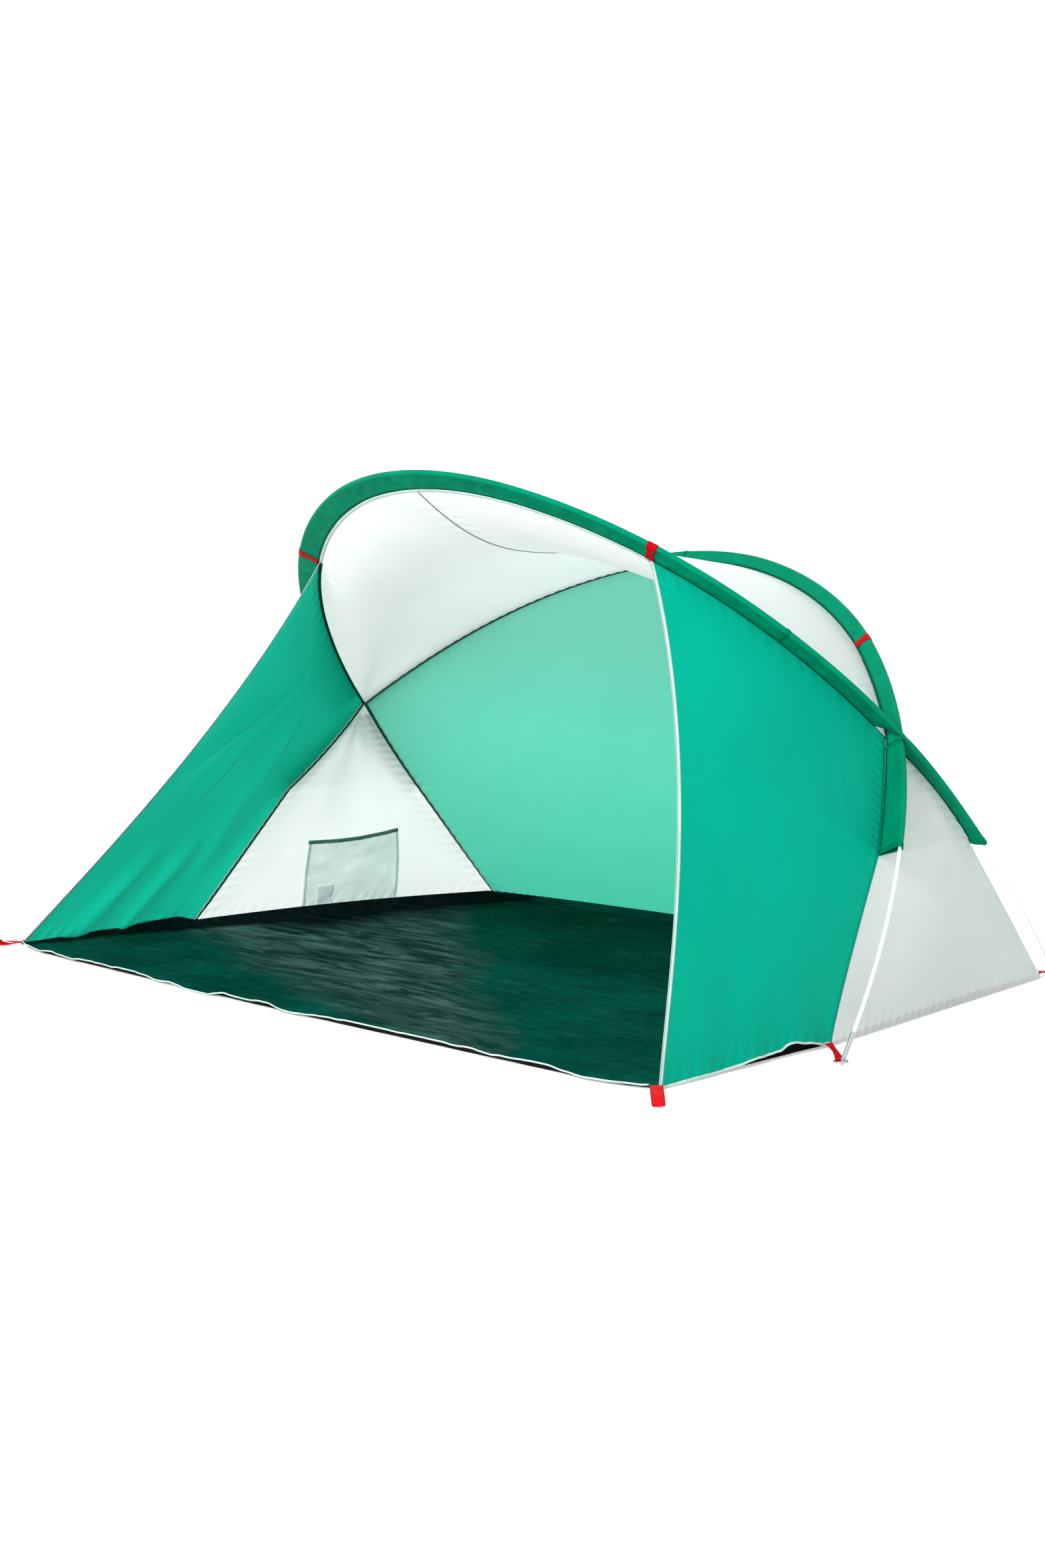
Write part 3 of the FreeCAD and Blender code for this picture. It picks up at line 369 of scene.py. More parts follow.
def thicken(obj, thickness, offset=0.0, under=0):
    solid = obj.modifiers.new("thickness", "SOLIDIFY")
    solid.thickness, solid.offset, solid.material_offset = thickness, offset, under
    return obj


def run_lengths(points, axis=0):
    """Length from the first point to each one, along one axis of a line or grid of points."""
    steps = np.linalg.norm(np.diff(points, axis=axis), axis=-1)
    return np.concatenate([0 * np.take(steps, [0], axis), np.cumsum(steps, axis=axis)], axis=axis)


def grid_mesh(name, points, material, uv=None, closed_rows=False, flipped=False):
    """Smooth mesh over a grid of points, with UVs in metres. closed_rows joins each row's ends."""
    def corners(grid):
        a, b, c, d = grid[:-1, :-1], grid[1:, :-1], grid[1:, 1:], grid[:-1, 1:]
        return np.stack([a, d, c, b] if flipped else [a, b, c, d], axis=2)

    n, m = points.shape[:2]
    index = np.arange(n * m).reshape(n, m)
    if uv is None:
        uv = np.stack([run_lengths(points), run_lengths(points, 1)], axis=-1)
    if closed_rows:
        index = np.concatenate([index, index[:, :1]], axis=1)
        gap = np.linalg.norm(points[:, -1:] - points[:, :1], axis=-1)[..., None]
        uv = np.concatenate([uv, uv[:, -1:] + gap * np.array([0.0, 1.0])], axis=1)
    mesh = bpy.data.meshes.new(name)
    mesh.from_pydata(points.reshape(-1, 3).tolist(), [], corners(index).reshape(-1, 4).tolist())
    layer = mesh.uv_layers.new(name="UVMap")
    layer.data.foreach_set("uv", corners(uv).reshape(-1).astype(np.float32))
    mesh.polygons.foreach_set("use_smooth", np.ones(len(mesh.polygons), bool))
    mesh.materials.append(material)
    mesh.update()
    obj = bpy.data.objects.new(name, mesh)
    bpy.context.scene.collection.objects.link(obj)
    return obj


def normals_of(points):
    du, dv = np.gradient(points, axis=0), np.gradient(points, axis=1)
    return unit(np.cross(du, dv))


def directions(surface, u, v):
    """Point, u direction, v direction and normal of a surface at each pair of shares."""
    step = 1e-3
    du = surface(np.minimum(u + step, 1), v) - surface(np.maximum(u - step, 0), v)
    dv = surface(u, np.minimum(v + step, 1)) - surface(u, np.maximum(v - step, 0))
    return surface(u, v), unit(du), unit(dv), unit(np.cross(du, dv))


def folded(surface, folds):
    """The surface moved along its own normal by folds(u, v)."""
    def moved(u, v):
        point, _, _, normal = directions(surface, u, v)
        return point + normal * folds(u, v)[..., None]
    return moved


def cloth(name, surface, counts, material, mirror=False, foot=True):
    """Continuous sheet over a panel's surface, with closer rows at its foot."""
    upward = np.linspace(0, 1, counts[1])
    if foot:
        upward = upward * (0.4 + 0.6 * upward)
    u, v = np.meshgrid(np.linspace(0, 1, counts[0]), upward, indexing="ij")
    points = surface(u, v)
    if mirror:
        points = flip(points)
    return collect(grid_mesh(name, points, material, flipped=mirror))


def band(name, centre, side, up, half_width, half_thick, material, mirror=False, body=ROOT):
    """Flat tape with rounded edges along a line: side is its width's direction and up its thickness's."""
    turns = np.linspace(0, 2 * math.pi, 13)[:-1]
    wide, thick = (np.sign(part) * np.abs(part) ** power
                   for part, power in ((np.cos(turns), 0.35), (np.sin(turns), 0.8)))
    across, height = (part * np.broadcast_to(half, len(centre))[:, None]
                      for part, half in ((wide, half_width), (thick, half_thick)))
    points = centre[:, None] + side[:, None] * across[..., None] + up[:, None] * height[..., None]
    if mirror:
        points = flip(points)
    uv = np.stack(np.broadcast_arrays(across, run_lengths(centre)[:, None]), axis=-1)
    obj = grid_mesh(name, points, material, uv=uv, closed_rows=True, flipped=mirror)
    cap_ends(obj, len(turns), len(centre))
    return collect(obj, body)


def tape(name, surface, u, v, across, half, material, lift=TAPE_LIFT, mirror=False):
    """Tape lying on the inner face of a panel, along a line of shares, its width along u or v."""
    point, along_u, along_v, normal = directions(surface, u, v)
    normal = normal * np.sign(dot(np.array(HEART) - point, normal))
    run = unit(np.gradient(point, axis=0))
    width = square_to(along_u if across == "u" else along_v, run)
    return band(name, point + normal * lift, width, np.cross(run, width), *half, material, mirror=mirror)


def cap_ends(obj, per_row, rows):
    mesh = bmesh.new()
    mesh.from_mesh(obj.data)
    mesh.verts.ensure_lookup_table()
    for first in (0, (rows - 1) * per_row):
        mesh.faces.new([mesh.verts[first + i] for i in range(per_row)])
    bmesh.ops.recalc_face_normals(mesh, faces=mesh.faces)
    mesh.to_mesh(obj.data)
    mesh.free()


def joined(name, objects):
    """One object out of several alike."""
    keep = objects[0]
    with bpy.context.temp_override(active_object=keep, selected_editable_objects=objects):
        bpy.ops.object.join()
    keep.name = name
    return collect(keep)


# ---- materials
def srgb(r, g, b):
    """Linear colour of a colour given as 0 to 255."""
    shares = (c / 255 for c in (r, g, b))
    return (*[c / 12.92 if c <= 0.04045 else ((c + 0.055) / 1.055) ** 2.4 for c in shares], 1.0)


def scaled(colour, factor):
    return (*[min(1.0, c * factor) for c in colour[:3]], 1.0)


def reckoned(operation, swapped=False):
    """Method that makes a Math node out of a value and another value or number."""
    def method(self, other):
        return self.nodes.math(operation, *((other, self) if swapped else (self, other)))
    return method


class Value:
    """A number in a material, written with in sums and comparisons."""

    def __init__(self, nodes, socket):
        self.nodes, self.socket = nodes, socket

    __add__ = __radd__ = reckoned("ADD")
    __mul__ = __rmul__ = reckoned("MULTIPLY")
    __sub__, __rsub__ = reckoned("SUBTRACT"), reckoned("SUBTRACT", swapped=True)
    __lt__, __gt__ = reckoned("LESS_THAN"), reckoned("GREATER_THAN")

    def __abs__(self):
        return self.nodes.math("ABSOLUTE", self)


class Nodes:
    """Short helper for building a material's node tree."""

    def __init__(self, name):
        self.material = bpy.data.materials.new(name)
        self.material.use_nodes = True
        self.tree = self.material.node_tree
        self.tree.nodes.clear()
        self.out = self.add("ShaderNodeOutputMaterial")

    def add(self, kind, **settings):
        node = self.tree.nodes.new(kind)
        for key, value in settings.items():
            setattr(node, key, value)
        return node

    def put(self, socket, value):
        """Link a value to a socket, or write a plain number or colour in it."""
        value = getattr(value, "socket", value)
        if hasattr(value, "is_output"):
            self.tree.links.new(value, socket)
        else:
            socket.default_value = value

    def filled(self, node, **inputs):
        """Output of a node once its inputs are filled. An underscore in a name stands for a space."""
        for name, value in inputs.items():
            if value is not None:
                self.put(node.inputs[name.replace("_", " ")], value)
        return node.outputs[0]

    def math(self, operation, a, b=0.0, clamp=False):
        node = self.add("ShaderNodeMath", operation=operation, use_clamp=clamp)
        self.put(node.inputs[0], a)
        self.put(node.inputs[1], b)
        return Value(self, node.outputs[0])

    def mix(self, share, a, b):
        node = self.add("ShaderNodeMix", data_type="RGBA")
        for place, value in ((0, share), (6, a), (7, b)):
            self.put(node.inputs[place], value)
        return node.outputs[2]

    def parts(self, vector):
        node = self.add("ShaderNodeSeparateXYZ")
        self.put(node.inputs[0], vector)
        return [Value(self, socket) for socket in node.outputs]

    def uv(self):
        return self.parts(self.add("ShaderNodeUVMap", uv_map="UVMap").outputs[0])[:2]

    def place(self):
        return self.add("ShaderNodeTexCoord").outputs["Object"]

    def stretched(self, x, y, z):
        return self.filled(self.add("ShaderNodeMapping"), Vector=self.place(), Scale=(x, y, z))

    def noise(self, scale, detail=3.0, vector=None, rough=0.55, distortion=0.0):
        node = self.add("ShaderNodeTexNoise")
        return Value(self, self.filled(node, Vector=vector or self.place(), Scale=scale, Detail=detail,
                                       Roughness=rough, Distortion=distortion))

    def ramp(self, value, low, high):
        """0 to 1 as a value goes from low to high."""
        node = self.add("ShaderNodeMapRange")
        return Value(self, self.filled(node, Value=value, From_Min=low, From_Max=high))

    def wave(self, value, pitch):
        """0 to 1 ripple of a length."""
        return self.math("SINE", value * (2 * math.pi / pitch)) * 0.5 + 0.5

    def near(self, distance, reach):
        """1 at no distance, falling to 0 at the reach."""
        return self.math("SUBTRACT", 1.0, abs(distance) * (1 / reach), clamp=True)

    def bump(self, height, distance, strength=1.0, normal=None):
        return self.filled(self.add("ShaderNodeBump"), Height=height, Distance=distance, Strength=strength,
                           Normal=normal)

    def principled(self, colour, rough, normal, metallic=0.0, sheen=0.0, coat=0.0, specular=0.5, tint=None):
        node = self.add("ShaderNodeBsdfPrincipled")
        return self.filled(node, Base_Color=colour, Roughness=rough, Normal=normal, Metallic=metallic,
                           Sheen_Weight=sheen, Coat_Weight=coat, Specular_IOR_Level=specular,
                           Specular_Tint=tint, Sheen_Tint=tint)

    def shared(self, share, first, second):
        """Mix of two shaders."""
        node = self.add("ShaderNodeMixShader")
        for socket, value in zip(node.inputs, (share, first, second)):
            self.put(socket, value)
        return node.outputs[0]

    def let_through(self, shader, colour, share, normal=None):
        """The shader, and the share of coloured light that passes through the cloth."""
        return self.shared(share, shader,
                           self.filled(self.add("ShaderNodeBsdfTranslucent"), Color=colour, Normal=normal))

    def finish(self, shader):
        self.put(self.out.inputs[0], shader)
        return self.material


def weave(n, pitch):
    """Height of a plain weave, threads over each other in turn, and the lengths across and along."""
    u, v = n.uv()
    return n.wave(u, pitch) * n.wave(v, pitch), u, v


def canopy_cloth(name, colour, lit, through, rough=0.62, sheen=0.05, low=None):
    """Thin woven cloth. lit is the colour of the light that comes through it, through the share that
    does, and low the colour of that light by the ground, painted light and shade that changes with height."""
    n = Nodes(name)
    threads, _, _ = weave(n, 0.0011)
    soft = n.noise(2.2, 3.0)
    tone = n.mix(n.ramp(soft, 0.35, 0.65), scaled(colour, 0.93), scaled(colour, 1.05))
    tone = n.mix(n.ramp(n.noise(160.0, 2.0), 0.3, 0.7) * 0.10, tone, scaled(colour, 0.72))
    tone = n.mix(threads * 0.08, tone, scaled(colour, 1.25))
    normal = n.bump(threads, 0.00015, 0.35, n.bump(n.noise(9.0, 4.0, rough=0.5, distortion=0.6), 0.0012))
    shine = n.mix(n.ramp(soft, 0.3, 0.7), scaled(lit, 0.96), lit)
    # Painted light and shade: the light through the cloth changes colour with height, towards low by the
    # ground.
    if low:
        shine = n.mix(n.ramp(n.parts(n.place())[2], 0.0, 0.9), low, shine)
    shader = n.principled(tone, rough, normal, sheen=sheen, specular=0.15, tint=colour)
    return n.finish(n.let_through(shader, shine, through, normal))


def stitched_cloth(name, colour, rows=(0.0,), rough=0.7, thread=None, through=0.0, stripe=None):
    """Folded cloth or tape with rows of stitches, at distances rows across it (UV u), along it (UV v).
    stripe is the place, half width and colour of a plain line along it; on the sleeves that line is painted
    shadow."""
    n = Nodes(name)
    height, u, v = weave(n, 0.0012)
    tone = n.mix(n.ramp(n.noise(14.0, 4.0), 0.3, 0.7), scaled(colour, 0.86), scaled(colour, 1.08))
    tone = n.mix(height * 0.18, tone, scaled(colour, 0.7))
    dash = n.wave(v, 0.0035) > 0.32
    if stripe:
        tone = n.mix(abs(u - stripe[0]) < stripe[1], tone, stripe[2])
    for row in rows:
        stitch = n.near(u - row, 0.0006) * dash
        tone = n.mix(stitch, tone, thread or scaled(colour, 0.55))
        height = height + stitch * 1.5 - n.near(u - row, 0.0022) * 2.0
    normal = n.bump(height, 0.0003, 0.8, n.bump(n.noise(70.0, 3.0), 0.0006))
    shader = n.principled(tone, rough, normal, sheen=0.04, specular=0.12, tint=colour)
    return n.finish(n.let_through(shader, scaled(colour, 1.1), through) if through else shader)


def webbing_cloth(name, colour):
    """Heavy ribbed webbing, its selvedges a little darker, with scattered fibre sheen."""
    n = Nodes(name)
    u, v = n.uv()
    height = n.wave(v, 0.0022) * n.wave(u, 0.0016)
    tone = n.mix(n.ramp(n.noise(40.0, 3.0), 0.3, 0.7), scaled(colour, 0.8), scaled(colour, 1.1))
    tone = n.mix(height * 0.35, tone, scaled(colour, 0.55))
    tone = n.mix((abs(u) > 0.0105) * 0.6, tone, scaled(colour, 0.45))
    normal = n.bump(height, 0.0004, 0.9)
    return n.finish(n.principled(tone, 0.6, normal, sheen=0.05, specular=0.12, tint=colour))


def floor_cloth():
    """Creased deep green sheet. Painted reflection: a greyish band across it with painted highlight streaks.
    Painted shade: near black by one side and darker towards the back.
    """
    n = Nodes("floor_sheet_top")
    x, y, _ = n.parts(n.place())
    wide = n.noise(1.6, 3.0, distortion=0.6) - 0.5
    streak = n.noise(7.0, 5.0, n.stretched(0.45, 2.0, 1.0), rough=0.62, distortion=1.4)
    fine = n.noise(55.0, 4.0, n.stretched(0.5, 1.5, 1.0), rough=0.6)
    before, beyond = (x * slope + y + wide * 0.35 for slope in (0.32, 0.85))
    # Painted reflection: a greyish streaky band across the sheet.
    reflection_band = n.ramp(before, -0.76, -0.60) * (1.0 - n.ramp(beyond, -0.28, -0.10))
    # Painted shade: near black beside the left gusset's foot, and painted shadow along the left side edge by
    # the wing's foot.
    black = (1.0 - n.ramp(x + wide * 0.3, -0.92, -0.70)) * n.ramp(y, -0.20, 0.0)
    painted_edge_shadow = 1.0 - n.ramp(x + (y * -0.24 + wide * 0.10), -1.03, -0.98)
    green = n.mix(n.ramp(n.noise(2.4, 4.0, rough=0.6), 0.38, 0.62), srgb(3, 55, 45), srgb(6, 73, 60))
    # Painted shade: darker towards the back, under the canopy.
    green = n.mix(n.ramp(y, -0.15, 0.70) * 0.6, green, srgb(0, 34, 24))
    green = n.mix(n.ramp(fine, 0.45, 0.7) * 0.45, green, srgb(0, 36, 28))
    painted_reflection = n.mix(n.ramp(streak, 0.42, 0.70), srgb(22, 42, 41), srgb(76, 103, 98))
    tone = n.mix(reflection_band * 0.8, green, painted_reflection)
    # Painted highlights along the streaks.
    tone = n.mix(n.ramp(streak, 0.58, 0.80) * 0.30, tone, srgb(56, 96, 86))
    tone = n.mix(n.math("MAXIMUM", black, painted_edge_shadow) * 0.92, tone, srgb(3, 11, 12))
    normal = n.bump(fine, 0.0020, 0.8, n.bump(streak, 0.008, 0.9))
    return n.finish(n.principled(tone, 0.36, normal, specular=0.0))


def under_cloth():
    """Plain black underside of the floor sheet, faintly creased."""
    n = Nodes("floor_sheet_underside")
    crinkle = n.noise(26.0, 4.0)
    tone = n.mix(n.ramp(crinkle, 0.3, 0.7), srgb(4, 5, 6), srgb(15, 17, 18))
    return n.finish(n.principled(tone, 0.6, n.bump(crinkle, 0.002, 0.7), specular=0.02))


def plain_grain(name, colour, rough, metallic=0.0, grain=(1, 1, 40), coat=0.0, marks=0.15):
    """Hard finish with fine drawn grain, slight stains and uneven shine."""
    n = Nodes(name)
    lines = n.noise(120.0, 3.0, n.stretched(*grain))
    tone = n.mix(n.ramp(n.noise(18.0, 4.0), 0.4, 0.8) * marks, colour, scaled(colour, 0.6))
    shine = lines * 0.18 + (rough - 0.09)
    return n.finish(n.principled(tone, shine, n.bump(lines, 0.00008, 0.5), metallic=metallic, coat=coat))


def net_cloth(name, colour):
    """Fine net: threads in two directions with holes between them."""
    n = Nodes(name)
    u, v = n.uv()
    holes = (n.wave(u, 0.0024) > 0.45) * (n.wave(v, 0.0024) > 0.45)
    tone = n.mix(n.ramp(n.noise(12.0), 0.3, 0.7), scaled(colour, 0.9), scaled(colour, 1.05))
    threads = n.principled(tone, 0.7, n.bump(n.noise(200.0), 0.0002), sheen=0.05, specular=0.15)
    clear = n.add("ShaderNodeBsdfTransparent")
    return n.finish(n.shared(holes * 0.6, threads, clear.outputs[0]))


GREEN = srgb(0, 166, 141)
GREEN_LIT = srgb(34, 220, 180)
SLEEVE_GREEN = srgb(0, 132, 97)
SILVER = srgb(251, 253, 255)
RED = srgb(216, 8, 24)
PALE = srgb(190, 210, 204)
PALE_THREAD = srgb(170, 190, 184)
TAPE = srgb(70, 92, 86)
TAPE_THREAD = srgb(120, 140, 134)
WALL_TAPE = srgb(8, 84, 66)
GREY_LINE = srgb(122, 142, 138)

# Painted light in the greens: the wings' light through the cloth is lighter by the ground; the rear wall is
# the same green cloth made lighter, with more and lighter light through it for its backlit look, and darker
# by the ground.
green_cloth = canopy_cloth("green_canopy_cloth", GREEN, scaled(GREEN_LIT, 0.88), 0.42, low=GREEN_LIT)
wall_cloth = canopy_cloth("rear_wall_cloth", srgb(24, 170, 144), srgb(134, 217, 193), 0.55,
                          low=srgb(86, 206, 176))
silver_cloth = canopy_cloth("silver_canopy_cloth", SILVER, srgb(248, 254, 253), 0.50, rough=0.5, sheen=0.02)
# Painted shadow: the sleeve's stripe is a dark line along its seam, where it meets the panel.
sleeve_cloth = stitched_cloth("sleeve_cloth", SLEEVE_GREEN, (0.0085,), rough=0.66, through=0.12,
                              stripe=(0.0030, 0.0032, scaled(SLEEVE_GREEN, 0.36)))
hem_cloth = stitched_cloth("sleeve_hem_cloth", scaled(SLEEVE_GREEN, 0.72), (-0.0032, 0.0032))
pale_tape = stitched_cloth("pale_tape", PALE, thread=PALE_THREAD)
edge_tape = stitched_cloth("edge_tape", PALE, (0.0042,), thread=srgb(176, 198, 192),
                           stripe=(-0.0030, 0.0010, GREY_LINE))
roof_tape = stitched_cloth("roof_tape", PALE, thread=PALE_THREAD, stripe=(0.0034, 0.0008, GREY_LINE))
shadow_tape = stitched_cloth("shadow_tape", srgb(0, 66, 50), thread=srgb(60, 110, 92))
dark_tape = stitched_cloth("dark_tape", TAPE, thread=TAPE_THREAD)
wall_tape = stitched_cloth("wall_tape", WALL_TAPE, thread=srgb(70, 130, 112), stripe=(0.0042, 0.0009, PALE))
side_tape = stitched_cloth("side_tape", WALL_TAPE, thread=TAPE_THREAD, stripe=(-0.0046, 0.0013, PALE))
roof_seam_tape = stitched_cloth("roof_seam_tape", srgb(120, 134, 132), thread=srgb(90, 104, 100))
red_webbing = webbing_cloth("red_webbing", RED)
# Painted shade: a darker copy of the same red webbing, for the sleeve straps and the pole foot straps.
shaded_webbing = webbing_cloth("shaded_webbing", scaled(RED, 0.66))
floor_top = floor_cloth()
floor_under = under_cloth()
rod_finish = plain_grain("rod_finish", srgb(244, 246, 245), 0.35, coat=0.3, marks=0.08)
steel_finish = plain_grain("steel_finish", srgb(196, 198, 200), 0.36, metallic=1.0)
tip_finish = plain_grain("tip_finish", srgb(206, 208, 210), 0.42, metallic=1.0)
cord_finish = plain_grain("cord_finish", srgb(40, 40, 44), 0.7, grain=(6, 6, 6))
net = net_cloth("pocket_net", srgb(236, 246, 241))
net_binding = stitched_cloth("net_binding", srgb(206, 222, 214), thread=srgb(120, 140, 132))
net_elastic = stitched_cloth("net_elastic", srgb(74, 116, 102), (-0.002, 0.002), thread=srgb(44, 76, 66))
label_cloth = stitched_cloth("label_cloth", srgb(238, 250, 255), (-0.022, 0.022), thread=srgb(180, 200, 212),
                             through=0.3)


# ---- panels
def within(share, reach):
    """1 inside, falling to 0 at both ends of a share from 0 to 1."""
    return smooth(share / reach) * smooth((1 - share) / reach)


def tension(u, v, seed, amount):
    """Broad soft billow and slight folds, dying out at the sewn edges."""
    edge = smooth(np.minimum(np.minimum(u, 1 - u), np.minimum(v, 1 - v)) / 0.12)
    return clouds(u * 3, v * 3, 3, seed) * amount * edge


def pucker(distance, along, seed):
    """Small gathers beside a sewn edge: distance from the edge, and length along it, in metres."""
    wobble = noise(along / 0.11, distance * 0, seed) * 1.6
    near = np.maximum(distance, 0) / PUCKER_REACH
    return np.sin(along * 2 * math.pi / PUCKER_PITCH + wobble) * PUCKER * near * np.exp(1 - near)


def edge_gathers(u, v, width, height, seed):
    """Gathers along all four edges of a panel of about that size."""
    across, up = u * width, v * height
    edges = (across, up), ((1 - u) * width, up), (up, across), ((1 - v) * height, across)
    return sum(pucker(distance, along, seed + i) for i, (distance, along) in enumerate(edges))


# Folds of a wing, which fan out below a point near its top: place in the fan, share of the height from
# and to, half width in the fan, and depth.
WING_FAN, WING_CREASES = (0.66, 0.95), (
    (-1.02, 0.36, 0.90, 0.17, 0.012), (-0.47, 0.30, 0.86, 0.12, 0.010), (0.28, 0.34, 0.84, 0.13, 0.010),
    (-0.37, 0, 0.28, 0.09, 0.011), (-0.09, 0, 0.32, 0.075, 0.0105), (0.14, 0.14, 0.56, 0.10, 0.006))


def wing_folds(seed, depth):
    """Long creases between the wing's foot and its top, broad billow and gathers at the seams."""
    def folds(u, v):
        fan = (u - WING_FAN[0]) / np.maximum(WING_FAN[1] - v, 0.12)
        fan = fan + clouds(v * 4, u * 3, 2, seed) * 0.03
        creases = 0 * u
        for place, low, high, half, deep in WING_CREASES:
            share = held((v - low) / (high - low))
            fade = np.sin(math.pi * (share if low else 0.35 + 0.65 * share))
            ridge = 0.45 * np.exp(-((fan - place - 1.9 * half) / (1.2 * half)) ** 2)
            creases = creases + (ridge - np.exp(-((fan - place) / half) ** 2)) * deep * fade
        flutter = np.sin(u * 2 * math.pi * 3.3 + seed) * 0.0025 * np.exp(-v / 0.07) * within(u, 0.05)
        body = creases * within(u, 0.08) * depth + tension(u, v, seed, 0.004)
        return (body + edge_gathers(u, v, 0.55, 1.1, seed)) * smooth(u / 0.05) + flutter
    return folds


def gusset_folds(seed):
    """A few folds that fall from the crossing."""
    def folds(u, v):
        ridge = np.sin(u * 2 * math.pi * 2.6 + clouds(v * 3, u * 2, 2, seed))
        fall = smooth((v - 0.25) / 0.35) * smooth((1 - v) / 0.12) * within(u, 0.2)
        width = 1.05 * (1 - v)
        gathers = edge_gathers(u, v, width, 0.85, seed) * smooth(width / 0.15)
        return ridge * fall * 0.0014 + tension(u, v, seed, 0.003) + gathers
    return folds


def wall_folds(u, v):
    ridge = np.sin(u * 2 * math.pi * 5 + clouds(v * 2, u * 3, 2, 4)) * 0.0010 * within(v, 0.1)
    return ridge + tension(u, v, 21, 0.005) + edge_gathers(u, v, 2.0, 0.8, 31)


def roof_folds(seed):
    def folds(u, v):
        depth = 1.05 * (1 - u)
        return tension(u, v, seed, 0.003) + edge_gathers(u, v, 1.2, depth, seed) * smooth(depth / 0.15)
    return folds


hung = {}
for side, fold_depth, seeds in (("right", 0.2, (3, 12, 41)), ("left", 1.7, (8, 17, 47))):
    let = let_down(wing, wing_foot(side), (1, 0.04, 0))
    hung["wing", side] = folded(let, wing_folds(seeds[0], fold_depth))
    hung["side_gusset", side] = folded(let_down(gusset, lambda u: GUSSET_FOOT + 0 * u, (0.989, 0.145, 0)),
                                       gusset_folds(seeds[1]))
    hung["roof", side] = folded(roof, roof_folds(seeds[2]))
wall_hung = folded(let_down(rear_wall, lambda u: WALL_FOOT + 0 * u, (0, 1, 0)), wall_folds)

sheets = []
for kind, counts, fabric, slot_name, flat, area in (
        ("wing", (110, 220), green_cloth, "green_fabric", (0.71, 1.35), 0.56),
        ("side_gusset", (110, 180), silver_cloth, "silver_fabric", (1.05, 0.80), 0.35),
        ("roof", (220, 140), silver_cloth, "silver_fabric", (1.38, 1.05), 0.77)):
    for side in SIDES:
        name, surface = f"{kind}_cloth_{side}", hung[kind, side]
        made = cloth(name, surface, counts, fabric, side == "left", kind != "roof")
        sheets.append((made, f"{kind}_{side}", slot_name, flat, area))
wall = cloth("rear_wall_cloth", wall_hung, (300, 170), wall_cloth)
sheets.append((wall, "rear_wall", "green_fabric", (2.33, 1.08), 2.10))
v = np.linspace(0.004, 0.996, 120)
roof_seam = tape("roof_middle_seam_tape", roof, 0 * v, v, "u", (0.0022, 0.0009), roof_seam_tape, lift=0.0016)
for sheet, node, slot_name, flat, area in sheets:
    stand_for(sheet, node, slot_name)
    [roof_seam] if node == "roof_right" else []


# ---- sleeves
def steps_between(start, end, step, fine=()):
    """Stations from start to end, closer together round the places in fine."""
    marks = [np.linspace(start, end, max(2, int(abs(end - start) / step)))]
    for place, reach in fine:
        close = np.arange(place - reach, place + reach, 0.002)
        marks.append(close[(close > min(start, end)) & (close < max(start, end))])
    return np.unique(np.concatenate(marks).round(5))


def nearest_station(pole, point, start, end):
    """Station between two others where a pole passes closest to a point."""
    s = np.linspace(start, end, 4001)
    return s[np.argmin(np.linalg.norm(pole.frame(s)[0] - point, axis=1))]


def sleeve_seam(pole, width, cross, end, low):
    """Seam point for each station of a pole, above and below the crossing."""
    def seam(s):
        lower = low.on_arc(held((np.abs(s) - cross) / (end - cross)))
        lower = np.where((s < 0)[:, None], flip(lower), lower)
        return np.where((np.abs(s) <= cross)[:, None], pole.inside(s, width), lower)
    return seam


def wrapped(radius, reach, parted, web, turns):
    """Section of cloth laid round a rod and drawn together at its seam, as distances towards the seam
    and square to that. parted is half the gap left at the seam, web holds the shares of the way along a
    flat layer for both distances, and turns those round the rod."""
    theta = np.arccos(np.clip(radius / reach, -1, 0.999))
    a_web, b_web = mix(radius * np.cos(theta), reach, web[0]), mix(radius * np.sin(theta), parted, web[1])
    turn = mix(theta, 2 * math.pi - theta, turns)
    a = np.concatenate([a_web, radius * np.cos(turn), a_web[..., ::-1]], axis=-1)
    b = np.concatenate([b_web, radius * np.sin(turn), -b_web[..., ::-1]], axis=-1)
    return a, b


def sleeve_shape(pole, seam, cross, bare, window, seed):
    """Cloth folded round a pole and sewn flat to its seam, as a function of stations. It lies tight at
    station bare, where the other pole passes. A window cuts it away beside the seams' crossing."""
    def shape(stations):
        point, _, _ = pole.frame(stations)
        target = seam(stations)
        way = unit(target - point)
        up = square_to(pole.normal, way)
        reach = np.linalg.norm(target - point, axis=1) - 0.0010
        radius = SLEEVE_R - SQUEEZE * np.exp(-((np.abs(stations) - bare) / 0.016) ** 2)
        if window:
            share = held((np.abs(np.abs(stations) - cross) - window[1]) / (window[0] - window[1]))
            reach = mix(radius * 1.02, reach, share)
        reach, radius, lengths = reach[:, None], radius[:, None], stations[:, None]
        web = np.linspace(1, 0, 12)[None, :-1]
        a, b = wrapped(radius, reach, 0.0006, (web, web ** 0.8), np.linspace(0, 1, 16)[None])
        share = held((a - radius) / np.maximum(reach - radius, 1e-4))
        wander = clouds(lengths * 9, share * 2, 2, seed) * 1.8
        ripple = np.sin(lengths * 2 * math.pi / 0.058 + share * 1.6 + wander) * 0.0012
        b = b + ripple * np.sin(math.pi * share ** 0.7) * smooth((reach - 0.012) / 0.02) * np.sign(b)
        slack = clouds(lengths * 14, share * 1.5, 2, seed + 9) * 0.0014 * np.sin(math.pi * share)
        points = point[:, None] + way[:, None] * a[..., None] + up[:, None] * (b + slack)[..., None]
        return points, np.stack([reach - a, np.broadcast_to(lengths, a.shape)], axis=-1)
    return shape


